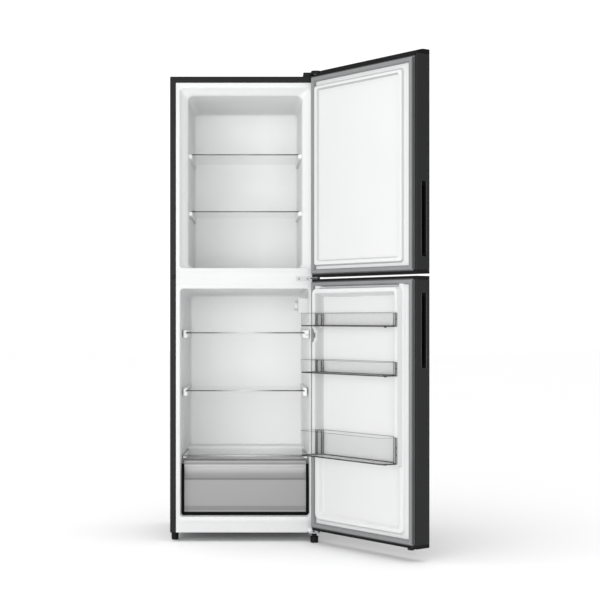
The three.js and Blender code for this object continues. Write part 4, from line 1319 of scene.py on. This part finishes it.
def crisper_drawer():
    """A smoky tub with a shaped front, whose top edge is painted shade and whose sides and back are
    clearer and painted lighter.
    """
    z0 = heights("crisper_drawer")[0]
    side, back = 214, 288

    def tub(bm):
        foot = rounded(-side + 6, side - 6, 52, back - 6, 8)
        outer = rounded(-side, side, 46, back, 10)
        loops = [[(x, y, z0) for x, y in foot]]
        loops += [[(x, y, z) for x, y in outer] for z in (z0 + 6, 291)]
        loft(bm, loops)

    def hollow(bm):
        foot = rounded(-side + 8.5, side - 8.5, 54, back - 8.5, 6)
        inner = rounded(-side + 2.5, side - 2.5, 48, back - 2.5, 8)
        loops = [[(x, y, z0 + 2.5) for x, y in foot]]
        loops += [[(x, y, z) for x, y in inner] for z in (z0 + 8, 300)]
        loft(bm, loops)

    def clear_front(bm):
        across(bm, DRAWER_FRONT[:10] + [(30, 294), (30, 80), (45, 80)], -225, 225)

    def face(bm):
        across(bm, DRAWER_FRONT, -222.6, 222.6)

    steps = [("DIFFERENCE", hollow), ("DIFFERENCE", clear_front), ("UNION", face)]
    drawer = cut_piece(
        "crisper_drawer_tub", tub, steps, CABINET, "crisper_drawer", SMOKE, ["crisper_drawer"], 30
    )
    for material in (SHADED_CLEAR, SMOKE_TUB_LIT):
        drawer.data.materials.append(material)
    to_mm = CABINET.inverted()
    # The sides and back take the lighter copy, painted light; the top edge takes the near-black painted
    # shade.
    for face in drawer.data.polygons:
        at = to_mm @ face.center
        if at.y > 60:
            face.material_index = 2
        elif at.z > 290:
            face.material_index = 1


# ------------------------------------------------------------------ cooling parts


def tube(bm, points, r, steps=8):
    """A round tube along points, with its section square to the way it runs."""
    count = len(points)
    loops = []
    up = Vector((0, 1, 0))
    for i, p in enumerate(points):
        a = Vector(points[max(0, i - 1)])
        b = Vector(points[min(count - 1, i + 1)])
        along = (b - a).normalized()
        side = along.cross(up).normalized()
        over = side.cross(along).normalized()
        ring_at = [math.tau * k / steps for k in range(steps)]
        loops.append([tuple(Vector(p) + side * r * math.cos(t) + over * r * math.sin(t)) for t in ring_at])
    loft(bm, loops)


def condenser():
    """A serpentine tube with wires welded across it on both sides."""
    y = 519
    straight = 185
    passes = 9
    wires = 62
    low, high = 420, 1360
    pitch = (high - low) / (passes - 1)
    points = []
    for i in range(passes):
        z = low + i * pitch
        way = 1 if i % 2 == 0 else -1
        points.append((-way * straight, y, z))
        points.append((way * straight, y, z))
        if i < passes - 1:
            bend = [math.radians(t) for t in range(-75, 90, 15)]
            r = pitch / 2
            points += [(way * (straight + 26 * math.cos(t)), y, z + r + r * math.sin(t)) for t in bend]
    bm = bmesh.new()
    tube(bm, points, 2.6)
    for i in range(wires):
        x = -198 + 396 * i / (wires - 1)
        for dy in (-3.2, 2.2):
            tube(bm, [(x, y + dy, 392), (x, y + dy, 1388)], 0.75, 6)
    for side in (-1, 1):
        for z in (400, 1380):
            block(bm, side * 200 - 7, side * 200 + 7, 510.3, 521.6, z - 7, z + 7, 1)
    piece("condenser_coil", bm, CABINET, "cabinet", BLACK_STEEL, ["condenser"], angle=60)


def smooth_run(points, n=5):
    """Points on a smooth curve through the given ones."""
    out = []
    last = len(points) - 1
    for i in range(last):
        p = [Vector(points[min(max(k, 0), last)]) for k in (i - 1, i, i + 1, i + 2)]
        for k in range(n):
            t = k / n
            a = 2 * p[1] + (p[2] - p[0]) * t
            b = (2 * p[0] - 5 * p[1] + 4 * p[2] - p[3]) * t * t
            c = (3 * p[1] - p[0] - 3 * p[2] + p[3]) * t**3
            out.append(tuple((a + b + c) / 2))
    out.append(tuple(points[-1]))
    return out


def compressor():
    """A welded egg-shaped can on a foot plate, with its seam, terminal cover and pipe stubs."""
    centre = 430
    run = smooth_run([(46, 60), (59, 70), (64, 96), (64, 128)], 4)
    run += [(66.6, 128.4), (66.6, 132.6), (63.6, 133)]
    run += smooth_run([(63.4, 136), (61.5, 152), (50, 181), (27, 199), (4, 203.6)], 5)
    profile = [(0.05, 58.4), (42, 58.4)] + run + [(0.05, 203.9)]
    bm = bmesh.new()
    loops = []
    for r, z in profile:
        turn = [math.tau * i / 48 for i in range(48)]
        loops.append([(1.35 * r * math.cos(t), centre + r * math.sin(t), z) for t in turn])
    loft(bm, loops)
    for x in (-88, 88):
        for y in (392, 468):
            block(bm, x - 17, x + 17, y - 13, y + 13, 57.6, 60.4, 1)
    block(bm, -92, 92, 404, 456, 57.6, 60.4, 1)
    piece("compressor_can", bm, CABINET, "cabinet", BLACK_STEEL, ["compressor"], angle=38)
    bm = bmesh.new()
    block(bm, 80, 103.6, 412.5, 447.5, 108.5, 149.5, 3, 3)
    piece("compressor_terminal_cover", bm, CABINET, "cabinet", BLACK, (), angle=38)
    bm = bmesh.new()
    for x, y, z in ((-70, 452, 92), (-74, 430, 104), (-60, 402, 92)):
        tube(bm, [(x, y, z), (x - 18, y, z + 1), (x - 22, y, z + 5), (x - 22, y, z + 26)], 3.2, 12)
    piece("compressor_pipe_stubs", bm, CABINET, "cabinet", COPPER, (), angle=50)


# ------------------------------------------------------------------ small parts


# CAD nodes whose shape is right as it is: material, edge width and names.
DRESSED = (
    (GALVANISED, 0.2, ["back_panel"]),
    (GALVANISED, 0.3, ["base_frame"]),
    (ALUMINIUM, 0.3, ["evaporator"]),
    (FOAM, 0, ["cabinet_foam", "freezer_door_foam", "fridge_door_foam"]),
    (WHITE_MOULDED, 0.3, ["freezer_door_bush", "fridge_door_bush"]),
    (WHITE_MOULDED, 0.5, ["beam_cover"]),
    (WHITE_MOULDED, 0.6, ["kick_rail", "light_switch"]),
    (WHITE_MOULDED, 0.8, ["thermostat_knob"]),
    (ZINC, 0.35, ["top_hinge_bracket", "top_hinge_pin", "middle_hinge_pin"]),
    (ZINC, 0.35, ["lower_hinge_bracket", "lower_hinge_pin"]),
    (PLATE_GREY, 0.4, ["middle_hinge_bracket"]),
    (SCREW_STEEL, 0.3, ["middle_hinge_screw_left", "middle_hinge_screw_right"]),
    (BLACK, 0.3, ["hinge_hole_plug"]),
    (BLACK, 0.6, ["levelling_foot_left", "levelling_foot_right"]),
    (BLACK, 0.8, ["rear_roller_left", "rear_roller_right"]),
    (BLACK, 1.0, ["top_hinge_cover"]),
    (PITCH_BLACK, 0.8, ["crisper_drawer_trim"]),
    (BLACK_RUBBER, 0.5, ["door_stop"]),
    (BLACK_RUBBER, 0.6, [node for node in NODES if node.startswith("compressor_mount")]),
    (BULB, 0.3, ["lamp"]),
)


def small_parts():
    """The materials and eased edges of the CAD nodes that are kept."""
    for material, width, nodes in DRESSED:
        for node in nodes:
            dress(node, material, width)
    dress("thermostat_housing", WHITE_MOULDED, 2.0, 3)


make_camera()
make_stage()
outer_case()
freezer_liner()
fridge_liner()
for door in ("freezer_door", "fridge_door"):
    door_skin(door, door + "_skin")
    grip_cup(door)
    gasket(door)
    plain_cap(door, door + "_bottom_cap", 7.4)
plain_cap("fridge_door", "fridge_door_top_cap", 4.4)
crown_cap()
freezer_door_liner()
fridge_door_liner()
for node in ("door_bin_lower", "door_bin_middle", "door_bin_upper"):
    door_bin(node)
for node in ("freezer_shelf_lower", "freezer_shelf_upper", "fridge_shelf_lower", "fridge_shelf_upper"):
    shelf(node)
crisper_cover()
crisper_drawer()
condenser()
compressor()
small_parts()
